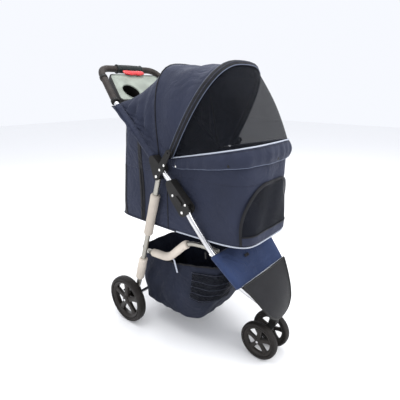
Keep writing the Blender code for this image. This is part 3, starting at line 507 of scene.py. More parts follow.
def foam(name, path, radius, seed):
    """A foam sleeve: a thick tube with rounded lips whose surface dents and swells a little."""
    run = np.concatenate([[0], np.linalg.norm(np.diff(path, axis=0), axis=1).cumsum()])
    edge = np.clip(np.minimum(run, run[-1] - run) / 0.005, 0, 1)
    draw = np.random.default_rng(seed).uniform(0, 6.3, 3)
    swell = 1 + 0.018 * np.sin(run * 46 + draw[0]) + 0.012 * np.sin(run * 113 + draw[1])
    return carry(name, path, circle(radius, 28), steady(path),
                 scale=swell * (0.86 + 0.14 * np.sqrt(1 - (1 - edge) ** 2)))


for side, mark in SIDES:
    hip = np.array((mark * FRAME_X, *SIDE_PIVOT))
    joint = np.array((mark * LEG_X, *LEG_PIVOT))
    knee = np.array((mark * KNEE[0], *KNEE[1:]))
    foot = np.array((mark * LEG_END[0], *LEG_END[1:]))
    down = (joint - hip) / np.linalg.norm(joint - hip)
    line = bend([hip - down * 0.006, joint, knee, foot], 0.03)
    fit(tube("leg_tube_" + side, line, TUBE_R - 0.0001, round_end=0.002), "rear_frame",
        "frame_steel", tube_olive, "rear_leg_" + side)
    upper = evenly(np.array([hip + (joint - hip) * s for s in UPPER_SLEEVE]), 0.004)
    lower = evenly(np.array([joint + (knee - joint) * s for s in LOWER_SLEEVE]), 0.004)
    fit(foam("leg_sleeve_upper_" + side, upper, FOAM_R, 3), "rear_frame", "foam", beige_foam,
        "leg_foam_upper_" + side)
    fit(foam("leg_sleeve_lower_" + side, lower, FOAM_R, 4), "rear_frame", "foam", beige_foam,
        "leg_foam_lower_" + side)

# ---------------------------------------------------------------- rear axle, feet and brakes
# A steel axle held in two moulded feet on the leg ends. Behind each foot is a short foot lever
# that presses on the wheel when it is trodden down.
fit(softened("rear_axle", "axle_rod", 0.0006, 2), "rear_frame", "frame_steel", tube_silver,
    "rear_axle")
brake_plastic = moulded("brake_plastic", (0.014, 0.013, 0.013), 0.36, 700.0, 0.15)
for side, mark in SIDES:
    fit(softened("axle_bracket_" + side, "axle_foot_" + side, 0.0022), "rear_frame",
        "black_plastic", black_nylon, "axle_bracket_" + side)
    fit(softened("brake_lever_" + side, "brake_pedal_" + side, 0.0016), "brake_" + side,
        "black_plastic", brake_plastic, "brake_lever_" + side)
    low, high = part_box("brake_lever_" + side)
    for k in range(3):
        y, z = low.y + 0.020 + 0.0042 * k, high.z + 0.0002 - 0.0006 * k
        rib = evenly(np.array([[low.x + 0.003, y, z], [high.x - 0.003, y, z]]), 0.006)
        fit(tube("pedal_rib_%d_%s" % (k + 1, side), rib, 0.0011, 8), "brake_" + side,
            "black_plastic", brake_plastic)


# ---------------------------------------------------------------- wheels
# Foam rubber tyres with a shallow tread on five-spoke moulded rims. The rear pair is bigger; a
# cap covers each axle end.
def make_rubber():
    """Dusty tyre rubber: dull brown-black with a pebbled skin."""
    made, tree, shader = finish_start("tyre_rubber", (0.014, 0.012, 0.011), 0.62, 24.0, 0.35, 0.3)
    bumpy(tree, shader, relief(tree, "Noise", 300.0, 6.0), 0.25, 0.0006)
    return made


tyre_rubber = make_rubber()
rim_plastic = moulded("rim_plastic", (0.018, 0.015, 0.013), 0.33, 800.0, 0.12)


def tyre(name, spot, radius, width, seat):
    """A ring turned about X: a round crown with two grooves round it, and slanted cuts across
    its shoulders that repeat round the wheel."""
    half, deep = width / 2, (radius - seat) / 2
    middle, flat = seat + deep, 2.6
    s = np.linspace(0, 2 * np.pi, 56, endpoint=False)
    x = half * np.sign(np.cos(s)) * np.abs(np.cos(s)) ** (2 / flat)
    rise = deep * np.sign(np.sin(s)) * np.abs(np.sin(s)) ** (2 / flat)
    turn = np.linspace(0, 2 * np.pi, 216, endpoint=False)
    share = x / half
    crown = np.clip((rise / deep - 0.55) / 0.3, 0, 1)
    grooves = 0.0014 * (np.exp(-((share - 0.38) / 0.07) ** 2) + np.exp(-((share + 0.38) / 0.07) ** 2))
    wave = np.sin(turn[:, None] * 36 + 3.2 * np.abs(share)[None])
    cuts = 0.0013 * np.clip(wave * 3 - 1.6, 0, 1) * np.clip((np.abs(share)[None] - 0.5) / 0.1, 0, 1)
    r = middle + rise[None] - crown[None] * (grooves[None] + cuts)
    grid = np.stack([spot[0] + x[None] + 0 * r, spot[1] + r * np.cos(turn)[:, None],
                     spot[2] + r * np.sin(turn)[:, None]], -1)
    return surface(name, grid, ring=True, loop=True)


def spoke(name, spot, mark, angle, start, end, wide, thick, dish):
    """A spoke: a rounded box section carried out from the hub, widest at both ends, with a
    raised rib along its outer face."""
    share = np.linspace(0, 1, 15)
    r = start + (end - start) * share
    spread = wide * (0.82 + 1.5 * (share - 0.42) ** 2)
    a = np.linspace(0, 2 * np.pi, 32, endpoint=False)
    across = np.sign(np.cos(a)) * np.abs(np.cos(a)) ** 0.45
    depth = np.sign(np.sin(a)) * np.abs(np.sin(a)) ** 0.45
    rib = 0.0022 * np.exp(-(across / 0.26) ** 2) * (depth > 0)
    out = mark * (depth * thick / 2 + rib)[None] + mark * (dish * (1 - share) ** 2)[:, None]
    side = across[None] * (spread / 2)[:, None]
    y = r[:, None] * math.cos(angle) - side * math.sin(angle)
    z = r[:, None] * math.sin(angle) + side * math.cos(angle)
    grid = np.stack([spot[0] + out, spot[1] + y, spot[2] + z], -1)
    return surface(name, grid, ring=True, caps=True)


def joined(name, pieces):
    """Several closed pieces made one object."""
    work = bmesh.new()
    for piece in pieces:
        work.from_mesh(piece.data)
    mesh = bpy.data.meshes.new(name)
    work.to_mesh(mesh)
    work.free()
    mesh.shade_smooth()
    for piece in pieces:
        bpy.data.objects.remove(piece, do_unlink=True)
    obj = bpy.data.objects.new(name, mesh)
    bpy.context.scene.collection.objects.link(obj)
    return obj


def axle_cap(name, spot, mark, out, radius):
    """A push-on cap: a shallow dome with a rolled edge."""
    profile = [(0.0, radius * 0.92), (0.0004, radius), (0.0022, radius), (0.0034, radius * 0.90),
               (0.0046, radius * 0.55), (0.0050, 0.0004)]
    return lathe(name, [(mark * (out + h), r) for h, r in profile], spot, count=32, caps=True)


def wheel(kind, side, mark, radius, width, seat, hub, cap_out, cap_r):
    """Tyre, rim and axle cap of one wheel, on its own joint. seat is the rim's radius under the
    tyre, and hub both the radius and the half width of the rim's middle."""
    spot, body = pivot[kind + "_wheel_spin_" + side], kind + "_wheel_" + side
    fit(tyre(kind + "_wheel_tyre_" + side, spot, radius, width, seat), body, "tyre", tyre_rubber,
        kind + "_tyre_" + side)
    face = width / 2 - 0.003
    band = seat - 0.0115
    ring = [(-face, seat + 0.0006), (-face, seat - 0.0028), (-face + 0.002, seat - 0.0050),
            (-face + 0.005, band + 0.001), (-face + 0.007, band), (face - 0.007, band),
            (face - 0.005, band + 0.001), (face - 0.002, seat - 0.0050), (face, seat - 0.0028),
            (face, seat + 0.0006)]
    parts = [lathe("felloe", [(mark * x, r) for x, r in ring + ring[:1]], spot, count=96)]
    boss = [(-hub, 0.008), (-hub, hub * 0.80), (-hub + 0.003, hub), (face - 0.003, hub),
            (face + 0.001, hub - 0.002), (hub - 0.002, hub * 0.72), (hub, hub * 0.62), (hub, 0.0055)]
    parts.append(lathe("hub", [(mark * x, r) for x, r in boss], spot, count=48, caps=True))
    for k in range(5):
        angle = 2 * math.pi * k / 5 + math.pi / 2
        parts.append(spoke("spoke", spot, mark, angle, hub - 0.003, band + 0.003, seat * 0.30,
                           width * 0.42, 0.003))
    fit(joined(kind + "_wheel_rim_" + side, parts), body, "wheel_plastic", rim_plastic,
        kind + "_rim_" + side)
    fit(axle_cap(kind + "_axle_cap_" + side, spot, mark, cap_out, cap_r), body, "black_plastic",
        black_nylon)


for side, mark in SIDES:
    wheel("rear", side, mark, radius=0.098, width=0.034, seat=0.079, hub=0.017, cap_out=0.0135,
          cap_r=0.0085)

# ---------------------------------------------------------------- side links
# A bent steel tube on each side ties the rear leg to the front tube. A foam sleeve covers its
# rear end, both slopes and the bend between them; the level front run is bare.
low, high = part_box("link_pin_left")
LINK_REAR_X, LINK_R = (low.x + high.x) / 2, 0.0085
LINK_LINE = ((LINK_REAR_X - 0.0020, 0.0130, 0.3310), (LINK_REAR_X - 0.0120, -0.0700, 0.4120),
             (LINK_REAR_X - 0.0170, -0.1250, 0.4190))
LINK_FRONT_X = LINK_REAR_X - 0.0230
for side, mark in SIDES:
    points = [(LINK_REAR_X, *LEG_PIVOT), *LINK_LINE, (LINK_FRONT_X, *FRONT_PIVOT)]
    points = np.array(points) * (mark, 1, 1)
    first, last = points[0] - points[1], points[-1] - points[-2]
    points[0] += first / np.linalg.norm(first) * 0.008
    points[-1] += last / np.linalg.norm(last) * 0.008
    line = bend(points, 0.028, 0.004)
    fit(tube("link_tube_" + side, line, LINK_R, round_end=0.003), "side_links", "frame_steel",
        tube_olive, "side_link_" + side)
    covered = line[(line[:, 1] < LEG_PIVOT[0] - 0.020) & (line[:, 1] > LINK_LINE[1][1] - 0.004)]
    fit(foam("link_sleeve_" + side, covered, FOAM_R - 0.0015, 5), "side_links", "foam", beige_foam,
        "link_foam_" + side)
    fit(rivet("link_rivet_" + side, (mark * (LINK_REAR_X + LINK_R), *LEG_PIVOT), (mark, 0, 0),
              *WIDE_RIVET), "side_links", "rivet_steel", rivet_bright, "link_pin_" + side)

# ---------------------------------------------------------------- front tubes, head and caster
# Two bright steel tubes run down and inwards to a moulded head. A yoke turns in the head on an
# upright steel spindle and trails a short axle with a wheel on each end.
SHIELD_TOP, SWIVEL = (-0.286, 0.317), pivot["caster_swivel"]
# How far the tubes stand from the middle at the link pivot and at the guard's top edge.
PIVOT_X, SHIELD_X = 0.1575, 0.1340
for side, mark in SIDES:
    points = np.array([(FRAME_X, -0.1085, 0.5600), (FRAME_X, -0.1260, 0.5310),
                       (PIVOT_X, *FRONT_PIVOT), (SHIELD_X, *SHIELD_TOP),
                       (0.0280, SWIVEL[1], 0.2000)]) * (mark, 1, 1)
    fit(tube("fore_tube_" + side, bend(points, 0.035), TUBE_R - 0.0001), "front_frame",
        "frame_steel", tube_silver, "front_tube_" + side)
    fit(rivet("fore_rivet_" + side, (mark * (PIVOT_X + TUBE_R - 0.0003), *FRONT_PIVOT), (mark, 0, 0),
              *WIDE_RIVET), "front_frame", "rivet_steel", rivet_bright)
fit(softened("fork_head", "caster_head", 0.0016), "front_frame", "black_plastic", black_nylon,
    "fork_head")
fit(softened("caster_fork", "caster_yoke", 0.0022), "caster", "black_plastic", black_nylon,
    "caster_fork")
fit(softened("front_axle", "caster_axle", 0.0006, 2), "caster", "frame_steel", tube_silver,
    "front_axle")
for side, mark in SIDES:
    wheel("front", side, mark, radius=0.071, width=0.026, seat=0.057, hub=0.013, cap_out=0.0105,
          cap_r=0.0068)

# ---------------------------------------------------------------- padded handle loop and grip
# One bent tube in a dark padded cover joins the two uprights. A ribbed rubber grip is pushed
# over its middle, and a plastic collar ends the cover at each corner of the tray.
def make_padding():
    """Padded cover: dark brown, dull, with a pebbled leather-like grain."""
    made, tree, shader = finish_start("dark_padding", (0.034, 0.028, 0.025), 0.55, 30.0, 0.3, 0.25)
    place = node(tree, "ShaderNodeTexCoord")
    cells = node(tree, "ShaderNodeTexVoronoi", {"Vector": place.outputs["Object"], "Scale": 430.0},
                 feature="DISTANCE_TO_EDGE")
    bumpy(tree, shader, cells.outputs["Distance"], 0.5, 0.0012)
    return made


dark_padding = make_padding()
HANDLE_BAR = (0.140, 0.375, 1.003)
ALONG = np.array((0.0, HANDLE_BAR[1] - HANDLE_TOP[1], HANDLE_BAR[2] - HANDLE_TOP[2]))
ALONG = ALONG / np.linalg.norm(ALONG)
UP = np.cross((1.0, 0.0, 0.0), ALONG)
TRAY_START = np.array((0.0, HANDLE_TOP[1], HANDLE_TOP[2]))


def on_tray(across, along, up):
    """A place in the tray's own plane: across, up the handle, and above it."""
    flat = np.stack(np.broadcast_arrays(across, along, up), -1).astype(float)
    return TRAY_START + flat[..., :1] * (1.0, 0, 0) + flat[..., 1:2] * ALONG + flat[..., 2:] * UP


bar_end = np.array(HANDLE_BAR)
corner = np.array(HANDLE_TOP) + (bar_end - HANDLE_TOP) * 0.011
half_loop = [corner, bar_end]
loop_line = bend(half_loop + [p * (-1, 1, 1) for p in reversed(half_loop)], 0.045, 0.004)
LOOP_R = 0.0125
run = np.linspace(0, 1, len(loop_line))
swell = 1 + 0.012 * np.sin(run * 190) * np.sin(run * 31)
loop = carry("padded_loop", loop_line, circle(LOOP_R, 28), steady(loop_line), scale=swell)
fit(loop, "root", "handle_foam", dark_padding, "handle_loop")
way = (bar_end - corner) / np.linalg.norm(bar_end - corner)
ring = [(-0.006, 0.0128), (-0.006, 0.0140), (-0.005, 0.0150), (0.005, 0.0150), (0.006, 0.0140),
        (0.006, 0.0128)]
for side, mark in SIDES:
    for k, share in ((1, 0.02), (2, 0.70)):
        spot = corner + (bar_end - corner) * share
        fit(lathe("loop_collar_%d_%s" % (k, side), ring + ring[:1], spot * (mark, 1, 1),
                  way * (mark, 1, 1), 40), "root", "black_plastic", black_nylon)

grip_rubber = moulded("grip_rubber", (0.016, 0.021, 0.021), 0.38, 600.0, 0.2)
GRIP_HALF, GRIP_BORE, RIB_PITCH = 0.062, 0.0130, 0.0065
x = np.linspace(-GRIP_HALF, GRIP_HALF, 150)
lip = np.clip((np.abs(x) - 0.0555) / 0.003, 0, 1) * np.clip((GRIP_HALF - np.abs(x)) / 0.002 + 0.3, 0, 1)
ribs = 0.0009 * np.clip(np.sin(x * 2 * np.pi / RIB_PITCH) * 2.2, -1, 1) * (np.abs(x) < 0.050)
grip_r = 0.0148 + 0.0028 * lip + ribs + 0.0010 * np.cos(x / GRIP_HALF * np.pi / 2)
profile = [(-GRIP_HALF, GRIP_BORE), *zip(x.tolist(), grip_r.tolist()), (GRIP_HALF, GRIP_BORE),
           (-GRIP_HALF, GRIP_BORE)]
fit(lathe("hand_grip", profile, (0, HANDLE_BAR[1], HANDLE_BAR[2]), count=64), "root",
    "black_plastic", grip_rubber, "handle_grip")


# ---------------------------------------------------------------- red folding trigger
# A glossy moulded lever just ahead of the grip: bowed towards the fingers, thickest along its
# pulling edge, with a shallow hollow for each finger.
def glossy(name, colour, roughness):
    """Glossy moulded plastic: almost even, with light scuffs in its gloss."""
    made, tree, shader = finish_start(name, colour, roughness, 26.0, 0.12, 0.2)
    shader.inputs["Coat Weight"].default_value = 0.35
    bumpy(tree, shader, relief(tree, "Noise", 200.0), 0.05, 0.0004)
    return made


red_gloss = glossy("red_gloss", (0.56, 0.018, 0.022), 0.24)
LEVER_HALF, LEVER_ALONG, LEVER_UP = 0.052, 0.1525, 0.0118
x = np.linspace(-LEVER_HALF, LEVER_HALF, 90)
a = np.linspace(0, 2 * np.pi, 36, endpoint=False)
draw_in = np.sqrt(np.clip(1 - (np.abs(x) / 0.0524) ** 9, 0.001, 1))
fingers = 0.0012 * np.cos(x / LEVER_HALF * np.pi * 2.5)
long_way = np.sign(np.cos(a)) * np.abs(np.cos(a)) ** 0.7 * 0.0125
thick_way = np.sin(a) * (0.0046 - 0.0012 * np.cos(a))
bow_in = LEVER_ALONG - 0.0026 * np.cos(x / LEVER_HALF * np.pi / 2)
along = bow_in[:, None] + long_way[None] * draw_in[:, None] + (long_way < 0)[None] * fingers[:, None]
lever = on_tray(x[:, None] + 0 * along, along, thick_way[None] * draw_in[:, None] + LEVER_UP)
fit(surface("squeeze_lever", lever, ring=True, caps=True), "trigger", "red_plastic", red_gloss,
    "fold_trigger")

# ---------------------------------------------------------------- cup tray
# A black moulded pan with two deep cup wells, closed by a pale grey-green plate. The plate has
# a raised rim along its edge and round each well.
pale_plastic = moulded("pale_plastic", (0.26, 0.29, 0.25), 0.34, 1100.0, 0.10)
fit(softened("tray_body", "tray_pan", 0.0016), "root", "black_plastic", black_nylon, "tray_body")
fit(softened("tray_top", "tray_plate", 0.0007, 2), "root", "tray_plastic", pale_plastic,
    "tray_top")
# The wells' places and radius in the tray's plane, and the plate's four corners and their radius.
WELL_X, WELL_ALONG, WELL_R, RIM_R, PLATE_UP = 0.074, 0.052, 0.0382, 0.0019, 0.0036
PLATE, PLATE_CORNER = np.array(((-0.147, 0.010), (0.147, 0.010), (0.1145, 0.144), (-0.1145, 0.144))), 0.018
turn = np.linspace(0, 2 * np.pi, 96, endpoint=False)
for side, mark in SIDES:
    ring = on_tray(mark * WELL_X + WELL_R * np.cos(turn), WELL_ALONG + WELL_R * np.sin(turn),
                   PLATE_UP + 0.0001)
    rim = carry("well_rim_" + side, ring, circle(RIM_R, 12) * (1, 0.8), np.tile(UP, (96, 1)),
                closed=True)
    fit(rim, "root", "tray_plastic", pale_plastic)
path = np.concatenate([rounded(PLATE[k - 1], PLATE[k], PLATE[(k + 1) % 4], PLATE_CORNER)
                       for k in range(4)])
rim = carry("tray_rim", on_tray(path[:, 0], path[:, 1], PLATE_UP), circle(RIM_R, 12),
            np.tile(UP, (len(path), 1)), closed=True)
fit(rim, "root", "tray_plastic", pale_plastic)


# ---------------------------------------------------------------- fabric cabin
# A box of navy polyester canvas, cut a little narrower at its foot in front. Its four walls
# are sewn to a floor panel, and its top edge follows the rail and the handle tubes.
def make_weave():
    """Plain weave from the piece's own lengths: warp and weft threads that pass over and under
    each other, as a value that is high on the threads and low between them."""
    tree, given, result = new_group("plain_weave", (("Threads", "NodeSocketFloat", 1100.0),),
                                    (("Thread", "NodeSocketFloat"),))
    lengths = node(tree, "ShaderNodeUVMap", uv_map="UVMap")
    axes = node(tree, "ShaderNodeSeparateXYZ", {0: lengths.outputs[0]})
    waves = []
    for axis in "XY":
        turns = node(tree, "ShaderNodeMath", {0: axes.outputs[axis], 1: given.outputs["Threads"]},
                     operation="MULTIPLY")
        angle = node(tree, "ShaderNodeMath", {0: turns.outputs[0], 1: 2 * math.pi},
                     operation="MULTIPLY")
        waves.append(node(tree, "ShaderNodeMath", {0: angle.outputs[0]}, operation="SINE"))
    cross = node(tree, "ShaderNodeMath", {0: waves[0].outputs[0], 1: waves[1].outputs[0]},
                 operation="MULTIPLY")
    half = node(tree, "ShaderNodeMath", {0: cross.outputs[0], 1: 0.5, 2: 0.5},
                operation="MULTIPLY_ADD")
    tree.links.new(half.outputs[0], result.inputs["Thread"])
    return tree


weave = make_weave()


def make_creases():
    """Worn cloth's relief, added to its threads: small dents and longer ridged creases."""
    tree, given, result = new_group("creases", (("Thread", "NodeSocketFloat", 0.0),),
                                    (("Height", "NodeSocketFloat"),))
    place = node(tree, "ShaderNodeTexCoord")
    dents = node(tree, "ShaderNodeTexNoise", {"Vector": place.outputs["Object"], "Scale": 34.0,
                                              "Detail": 3.0, "Roughness": 0.45})
    height = node(tree, "ShaderNodeMath", {0: dents.outputs["Fac"], 1: 9.0,
                                           2: given.outputs["Thread"]}, operation="MULTIPLY_ADD")
    wide = node(tree, "ShaderNodeTexNoise", {"Vector": place.outputs["Object"], "Scale": 10.0,
                                             "Detail": 2.0, "Distortion": 1.4})
    ridge = node(tree, "ShaderNodeMath", {0: wide.outputs["Fac"], 1: 0.5}, operation="SUBTRACT")
    ridge = node(tree, "ShaderNodeMath", {0: ridge.outputs[0]}, operation="ABSOLUTE")
    height = node(tree, "ShaderNodeMath", {0: ridge.outputs[0], 1: 60.0, 2: height.outputs[0]},
                  operation="MULTIPLY_ADD")
    tree.links.new(height.outputs[0], result.inputs["Height"])
    return tree


creases = make_creases()


def cloth(name, colour, roughness=0.72, threads=700.0, shade=0.16, sheen=0.35):
    """Woven polyester: cloudy colour, thread relief, creases and a pale sheen."""
    made, tree, shader = finish_start(name, colour, roughness, 7.0, shade, 0.15)
    shader.inputs["Sheen Weight"].default_value = sheen
    shader.inputs["Sheen Roughness"].default_value = 0.4
    shader.inputs["Sheen Tint"].default_value = (0.75, 0.80, 1.0, 1.0)
    woven = node(tree, "ShaderNodeGroup", {"Threads": threads}, node_tree=weave)
    worn = node(tree, "ShaderNodeGroup", {"Thread": woven.outputs["Thread"]}, node_tree=creases)
    bumpy(tree, shader, worn.outputs["Height"], 0.45, 0.0005)
    return made


navy_canvas = cloth("navy_canvas", (0.020, 0.0245, 0.046), sheen=0.10)
# The navy canvas again, painted brighter and bluer: painted light for the lit face of the front panel.
blue_canvas = cloth("blue_canvas", (0.019, 0.034, 0.090), sheen=0.12)
black_binding = cloth("black_binding", (0.007, 0.007, 0.009), 0.62, 400.0, 0.25, 0.06)
# The cabin's half width, middle, reach ahead of it, foot, fold line and top, and where its rear
# wall stands at the foot and at the top.
HALF, MID_Y, NOSE, FLOOR, SPLIT, TOP = 0.163, -0.020, 0.290, 0.446, 0.655, 0.868
BACK_LOW, BACK_HIGH = 0.285, 0.235


def mix(a, b, t):
    """The value t of the way from a to b."""
    return a + (b - a) * t


def squared(angle, half, depth, square):
    """The point of a squared oval in a direction: |x/half|^n + |y/depth|^n = 1."""
    c, s = np.cos(angle), np.sin(angle)
    reach = (np.abs(c / half) ** square + np.abs(s / depth) ** square) ** (-1 / square)
    return c * reach, s * reach


def wall(angle, z, proud=0.0):
    """A place on the cabin wall: a squared oval that changes with height, with shallow soft
    folds between its corners, and proud of the cloth by a distance."""
    angle, z = np.broadcast_arrays(np.asarray(angle, float), np.asarray(z, float))
    t = (z - FLOOR) / (TOP - FLOOR)
    low = np.clip(t / 0.75, 0, 1)
    behind = np.sin(angle) > 0
    back = mix(BACK_LOW, BACK_HIGH, np.clip(t * 1.15, 0, 1))
    depth = np.where(behind, back - MID_Y, NOSE) + proud
    x, y = squared(angle, HALF + proud, depth, np.where(behind, 9.0, mix(6.0, 4.0, low)))
    x = x * np.where(behind, 1.0, 1 - mix(0.11, 0.0, low) * np.abs(y / depth))
    hang = np.clip((z - FLOOR - 0.01) / 0.05, 0, 1)
    folds = 0.0020 * np.sin(9 * angle + 14 * z) + 0.0013 * np.sin(17 * angle - 22 * z + 1.0)
    pull = 0.0030 * np.exp(-((np.sin(angle) + 0.25) / 0.25) ** 2) * np.sin(np.pi * low)
    size = 1 + hang * (folds - pull) / np.hypot(x, y)
    return np.stack([x * size, MID_Y + y * size, z], -1)


def rim_height(y):
    """Top edge of the cabin: along the rail in front, along the handle tubes behind."""
    return np.maximum(0.7037 - 0.21 * y, 0.674 + 0.83 * y)


def corner_angle(y, mark):
    """The direction from the cabin's middle to a place on its side wall."""
    return np.arctan2(y - MID_Y, mark * HALF)


def thick(obj, wall_thickness, offset=-1.0):
    """Give a sheet its cloth thickness."""
    solid = obj.modifiers.new("cloth", "SOLIDIFY")
    solid.thickness = wall_thickness
    solid.offset = offset
    return obj


def crumple(obj):
    """Give a piece its own copy of its mesh."""
    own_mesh(obj)


CANVAS, TRIM_CLOTH = 0.0018, 0.0012
turn = np.linspace(0, 2 * np.pi, 240, endpoint=False)
inset = np.array((0.020, 0.012, 0.006, 0.002, 0.0))[:, None]
rounding = FLOOR + np.array((0.0, 0.0005, 0.003, 0.007, 0.013))[:, None]
foot = wall(turn[None], rounding, -inset)
rows = wall(turn[None], np.linspace(FLOOR + 0.020, SPLIT, 34)[:, None])
lower = surface("cabin_lower_cloth", np.concatenate([foot, rows]), ring=True, caps="first")
thick(lower, CANVAS)
crumple(lower)
fit(lower, "root", "navy_fabric", navy_canvas, "cabin_lower")
share = np.linspace(0, 1, 28)[:, None]
base = wall(turn[None], SPLIT + 0 * share)
rough_rim = rim_height(base[..., 1])
rows = wall(turn[None], mix(SPLIT - 0.003, rim_height(wall(turn[None], rough_rim)[..., 1]), share),
            0.0007 * (1 - share))
upper = thick(surface("cabin_upper_cloth", rows, ring=True, inside=(0, 0, 0.7)), CANVAS)
fit(upper, "root", "navy_fabric", navy_canvas, "cabin_upper")

# ---------------------------------------------------------------- bindings, seams and piping
# Black woven tape is sewn over the zip on each side wall and down the rear corners. Cord
# piping runs round the foot, pale and reflective across the front, dark behind.
reflective_cord = cloth("reflective_cord", (0.42, 0.45, 0.52), 0.45, 500.0, 0.1, 0.3)
dark_cord = cloth("dark_cord", (0.020, 0.023, 0.038), 0.6, 500.0, 0.1, 0.3)


def piping(name, line, radius, body, slot, paint, count=12):
    """A round cord sewn along a line."""
    return fit(carry(name, line, circle(radius, count), steady(line)), body, slot, paint)


def wall_tape(name, y_low, y_high, mark, z_low, z_high, proud, slot, paint, folds=True):
    """A strip on the side wall between two places along it and two heights (or height
    functions), thickened outwards."""
    v = np.linspace(0, 1, 40)[:, None]
    y = np.linspace(y_low, y_high, 7)[None]
    top = z_high(y) if callable(z_high) else z_high
    z = mix(z_low, top, v)
    grid = wall(corner_angle(y, mark), z, proud)
    tape = thick(surface(name, grid, inside=(0, 0, 0.6)), TRIM_CLOTH, 1.0)
    if folds:
        crumple(tape)
    return fit(tape, "root", slot, paint)


for side, mark in SIDES:
    for name, y_low, y_high in (("zip_tape_", 0.124, 0.146), ("rear_tape_", 0.236, 0.262)):
        wall_tape(name + "low_" + side, y_low, y_high, mark, FLOOR + 0.006, SPLIT, 0.0006,
                  "black_mesh", black_binding)
        wall_tape(name + "high_" + side, y_low, y_high if y_high < 0.2 else 0.240, mark, SPLIT,
                  lambda y: rim_height(y) - 0.012, 0.0006, "black_mesh", black_binding, False)
    wall_tape("side_seam_" + side, 0.0005, 0.0035, mark, FLOOR + 0.004, SPLIT - 0.030, 0.0002,
              "black_mesh", black_binding)
    teeth = wall(corner_angle(0.135, mark), np.linspace(FLOOR + 0.010, SPLIT - 0.005, 66), 0.0022)
    zip_cord = carry("zip_teeth_" + side, teeth, circle(0.0016, 8), steady(teeth),
                     scale=1 + 0.35 * np.sign(np.sin(np.arange(66) * np.pi + 0.5)))
    crumple(zip_cord)
    fit(zip_cord, "root", "black_mesh", black_binding)

front_turn = np.linspace(-math.pi + 0.10, -0.10, 160)
rear_turn = np.linspace(-0.09, math.pi + 0.09, 160)
for name, span, paint in (("front_piping", front_turn, reflective_cord),
                          ("rear_piping", rear_turn, dark_cord)):
    line = wall(span, FLOOR + 0.007, 0.0006)
    cord = carry(name, line, circle(0.0026, 12), steady(line))
    crumple(cord)
    fit(cord, "root", "navy_fabric", paint)

# ---------------------------------------------------------------- floor board, cushion and door
# A stiff board lies on the cabin's floor with a stuffed pad on it. The front wall carries a
# zipped mesh door: dark net in a black binding, with a canvas band along its foot.
def make_net(name, colour, cover, cells):
    """Open knitted net: dark threads in small cells, seen through in part."""
    made, tree, shader = finish_start(name, colour, 0.6, 12.0, 0.25, 0.2)
    shader.inputs["Specular IOR Level"].default_value = 0.08
    knit = node(tree, "ShaderNodeGroup", {"Threads": cells}, node_tree=weave)
    holes = node(tree, "ShaderNodeMapRange", {"Value": knit.outputs["Thread"], "From Min": 0.2,
                                              "From Max": 0.8, "To Min": cover - 0.14,
                                              "To Max": cover + 0.14})
    tree.links.new(holes.outputs[0], shader.inputs["Alpha"])
    bumpy(tree, shader, knit.outputs["Thread"], 0.4, 0.0004)
    return made


window_net = make_net("window_net", (0.006, 0.007, 0.010), 0.72, 420.0)
door_net = make_net("door_net", (0.007, 0.008, 0.012), 0.90, 420.0)
board_black = moulded("board_black", (0.07, 0.07, 0.07), 0.6, 500.0, 0.2)
pad_cloth = cloth("pad_cloth", (0.040, 0.050, 0.095), 0.8, 500.0, 0.2, 0.1)


def slab(name, inset, low, high):
    """A soft-edged slab in the cabin's plan: reach is each ring's share of the way out, and
    level its share of the way up."""
    turn = np.linspace(0, 2 * np.pi, 160, endpoint=False)
    reach = np.array((0.02, 0.3, 0.6, 0.85, 0.96, 1.0, 1.0, 0.96, 0.85, 0.6, 0.3, 0.02))[:, None]
    level = np.array((0, 0, 0, 0, 0.12, 0.4, 0.6, 0.88, 1, 1, 1, 1.0))[:, None]
    edge = wall(turn[None], FLOOR + 0.02, -inset)
    rows = edge * (1, 1, 0) * reach[..., None] + (0, MID_Y, 0) * (1 - reach[..., None])
    rows[..., 2] = mix(low, high, level)
    return surface(name, rows, ring=True, caps=True)


board = slab("floor_panel", 0.0170, FLOOR + 0.0037, FLOOR + 0.0083)
crumple(board)
fit(board, "root", "board", board_black, "floor_board")


def spots_of(mesh):
    """A mesh's points as one array."""
    flat = np.zeros(3 * len(mesh.vertices), np.float32)
    mesh.vertices.foreach_get("co", flat)
    return flat.reshape(-1, 3).astype(float)


PAD_VOXEL, PAD_PRESSURE, PAD_STEPS, PAD_CAP = 0.006, 4.0, 20, 0.0022
CHANNELS, CHANNEL_WIDE, CHANNEL_DEEP = (-0.17, -0.06, 0.05, 0.16), 0.005, 0.0035


def stuffed(obj, cap):
    """Swell a pad as cloth under pressure, with every point held to within cap of its start,
    then sew channels across its top."""
    scene = bpy.context.scene
    voxels = obj.modifiers.new("voxels", "REMESH")
    voxels.mode = "VOXEL"
    voxels.voxel_size = PAD_VOXEL
    remeshed = obj.evaluated_get(bpy.context.evaluated_depsgraph_get())
    solid = bpy.data.meshes.new_from_object(remeshed)
    obj.modifiers.clear()
    obj.data = solid
    start = spots_of(solid)
    swell = obj.modifiers.new("swell", "CLOTH")
    swell.settings.use_pressure = True
    swell.settings.uniform_pressure_force = PAD_PRESSURE
    swell.settings.effector_weights.gravity = 0.0
    for step in range(1, PAD_STEPS + 1):
        scene.frame_set(step)
    blown = obj.evaluated_get(bpy.context.evaluated_depsgraph_get()).to_mesh()
    moved = spots_of(blown) - start
    reach = np.linalg.norm(moved, axis=1, keepdims=True)
    obj.modifiers.clear()
    scene.frame_set(1)
    held = start + moved * np.minimum(1, cap / np.maximum(reach, 1e-9))
    solid.vertices.foreach_set("co", held.ravel())
    solid.shade_smooth()
    spots = spots_of(obj.data)
    sewn = sum(np.exp(-((spots[:, 1] - y) / CHANNEL_WIDE) ** 2) for y in CHANNELS)
    spots[:, 2] -= CHANNEL_DEEP * sewn * (spots[:, 2] > FLOOR + 0.022)
    obj.data.vertices.foreach_set("co", spots.ravel())
    obj.data.update()
    return obj


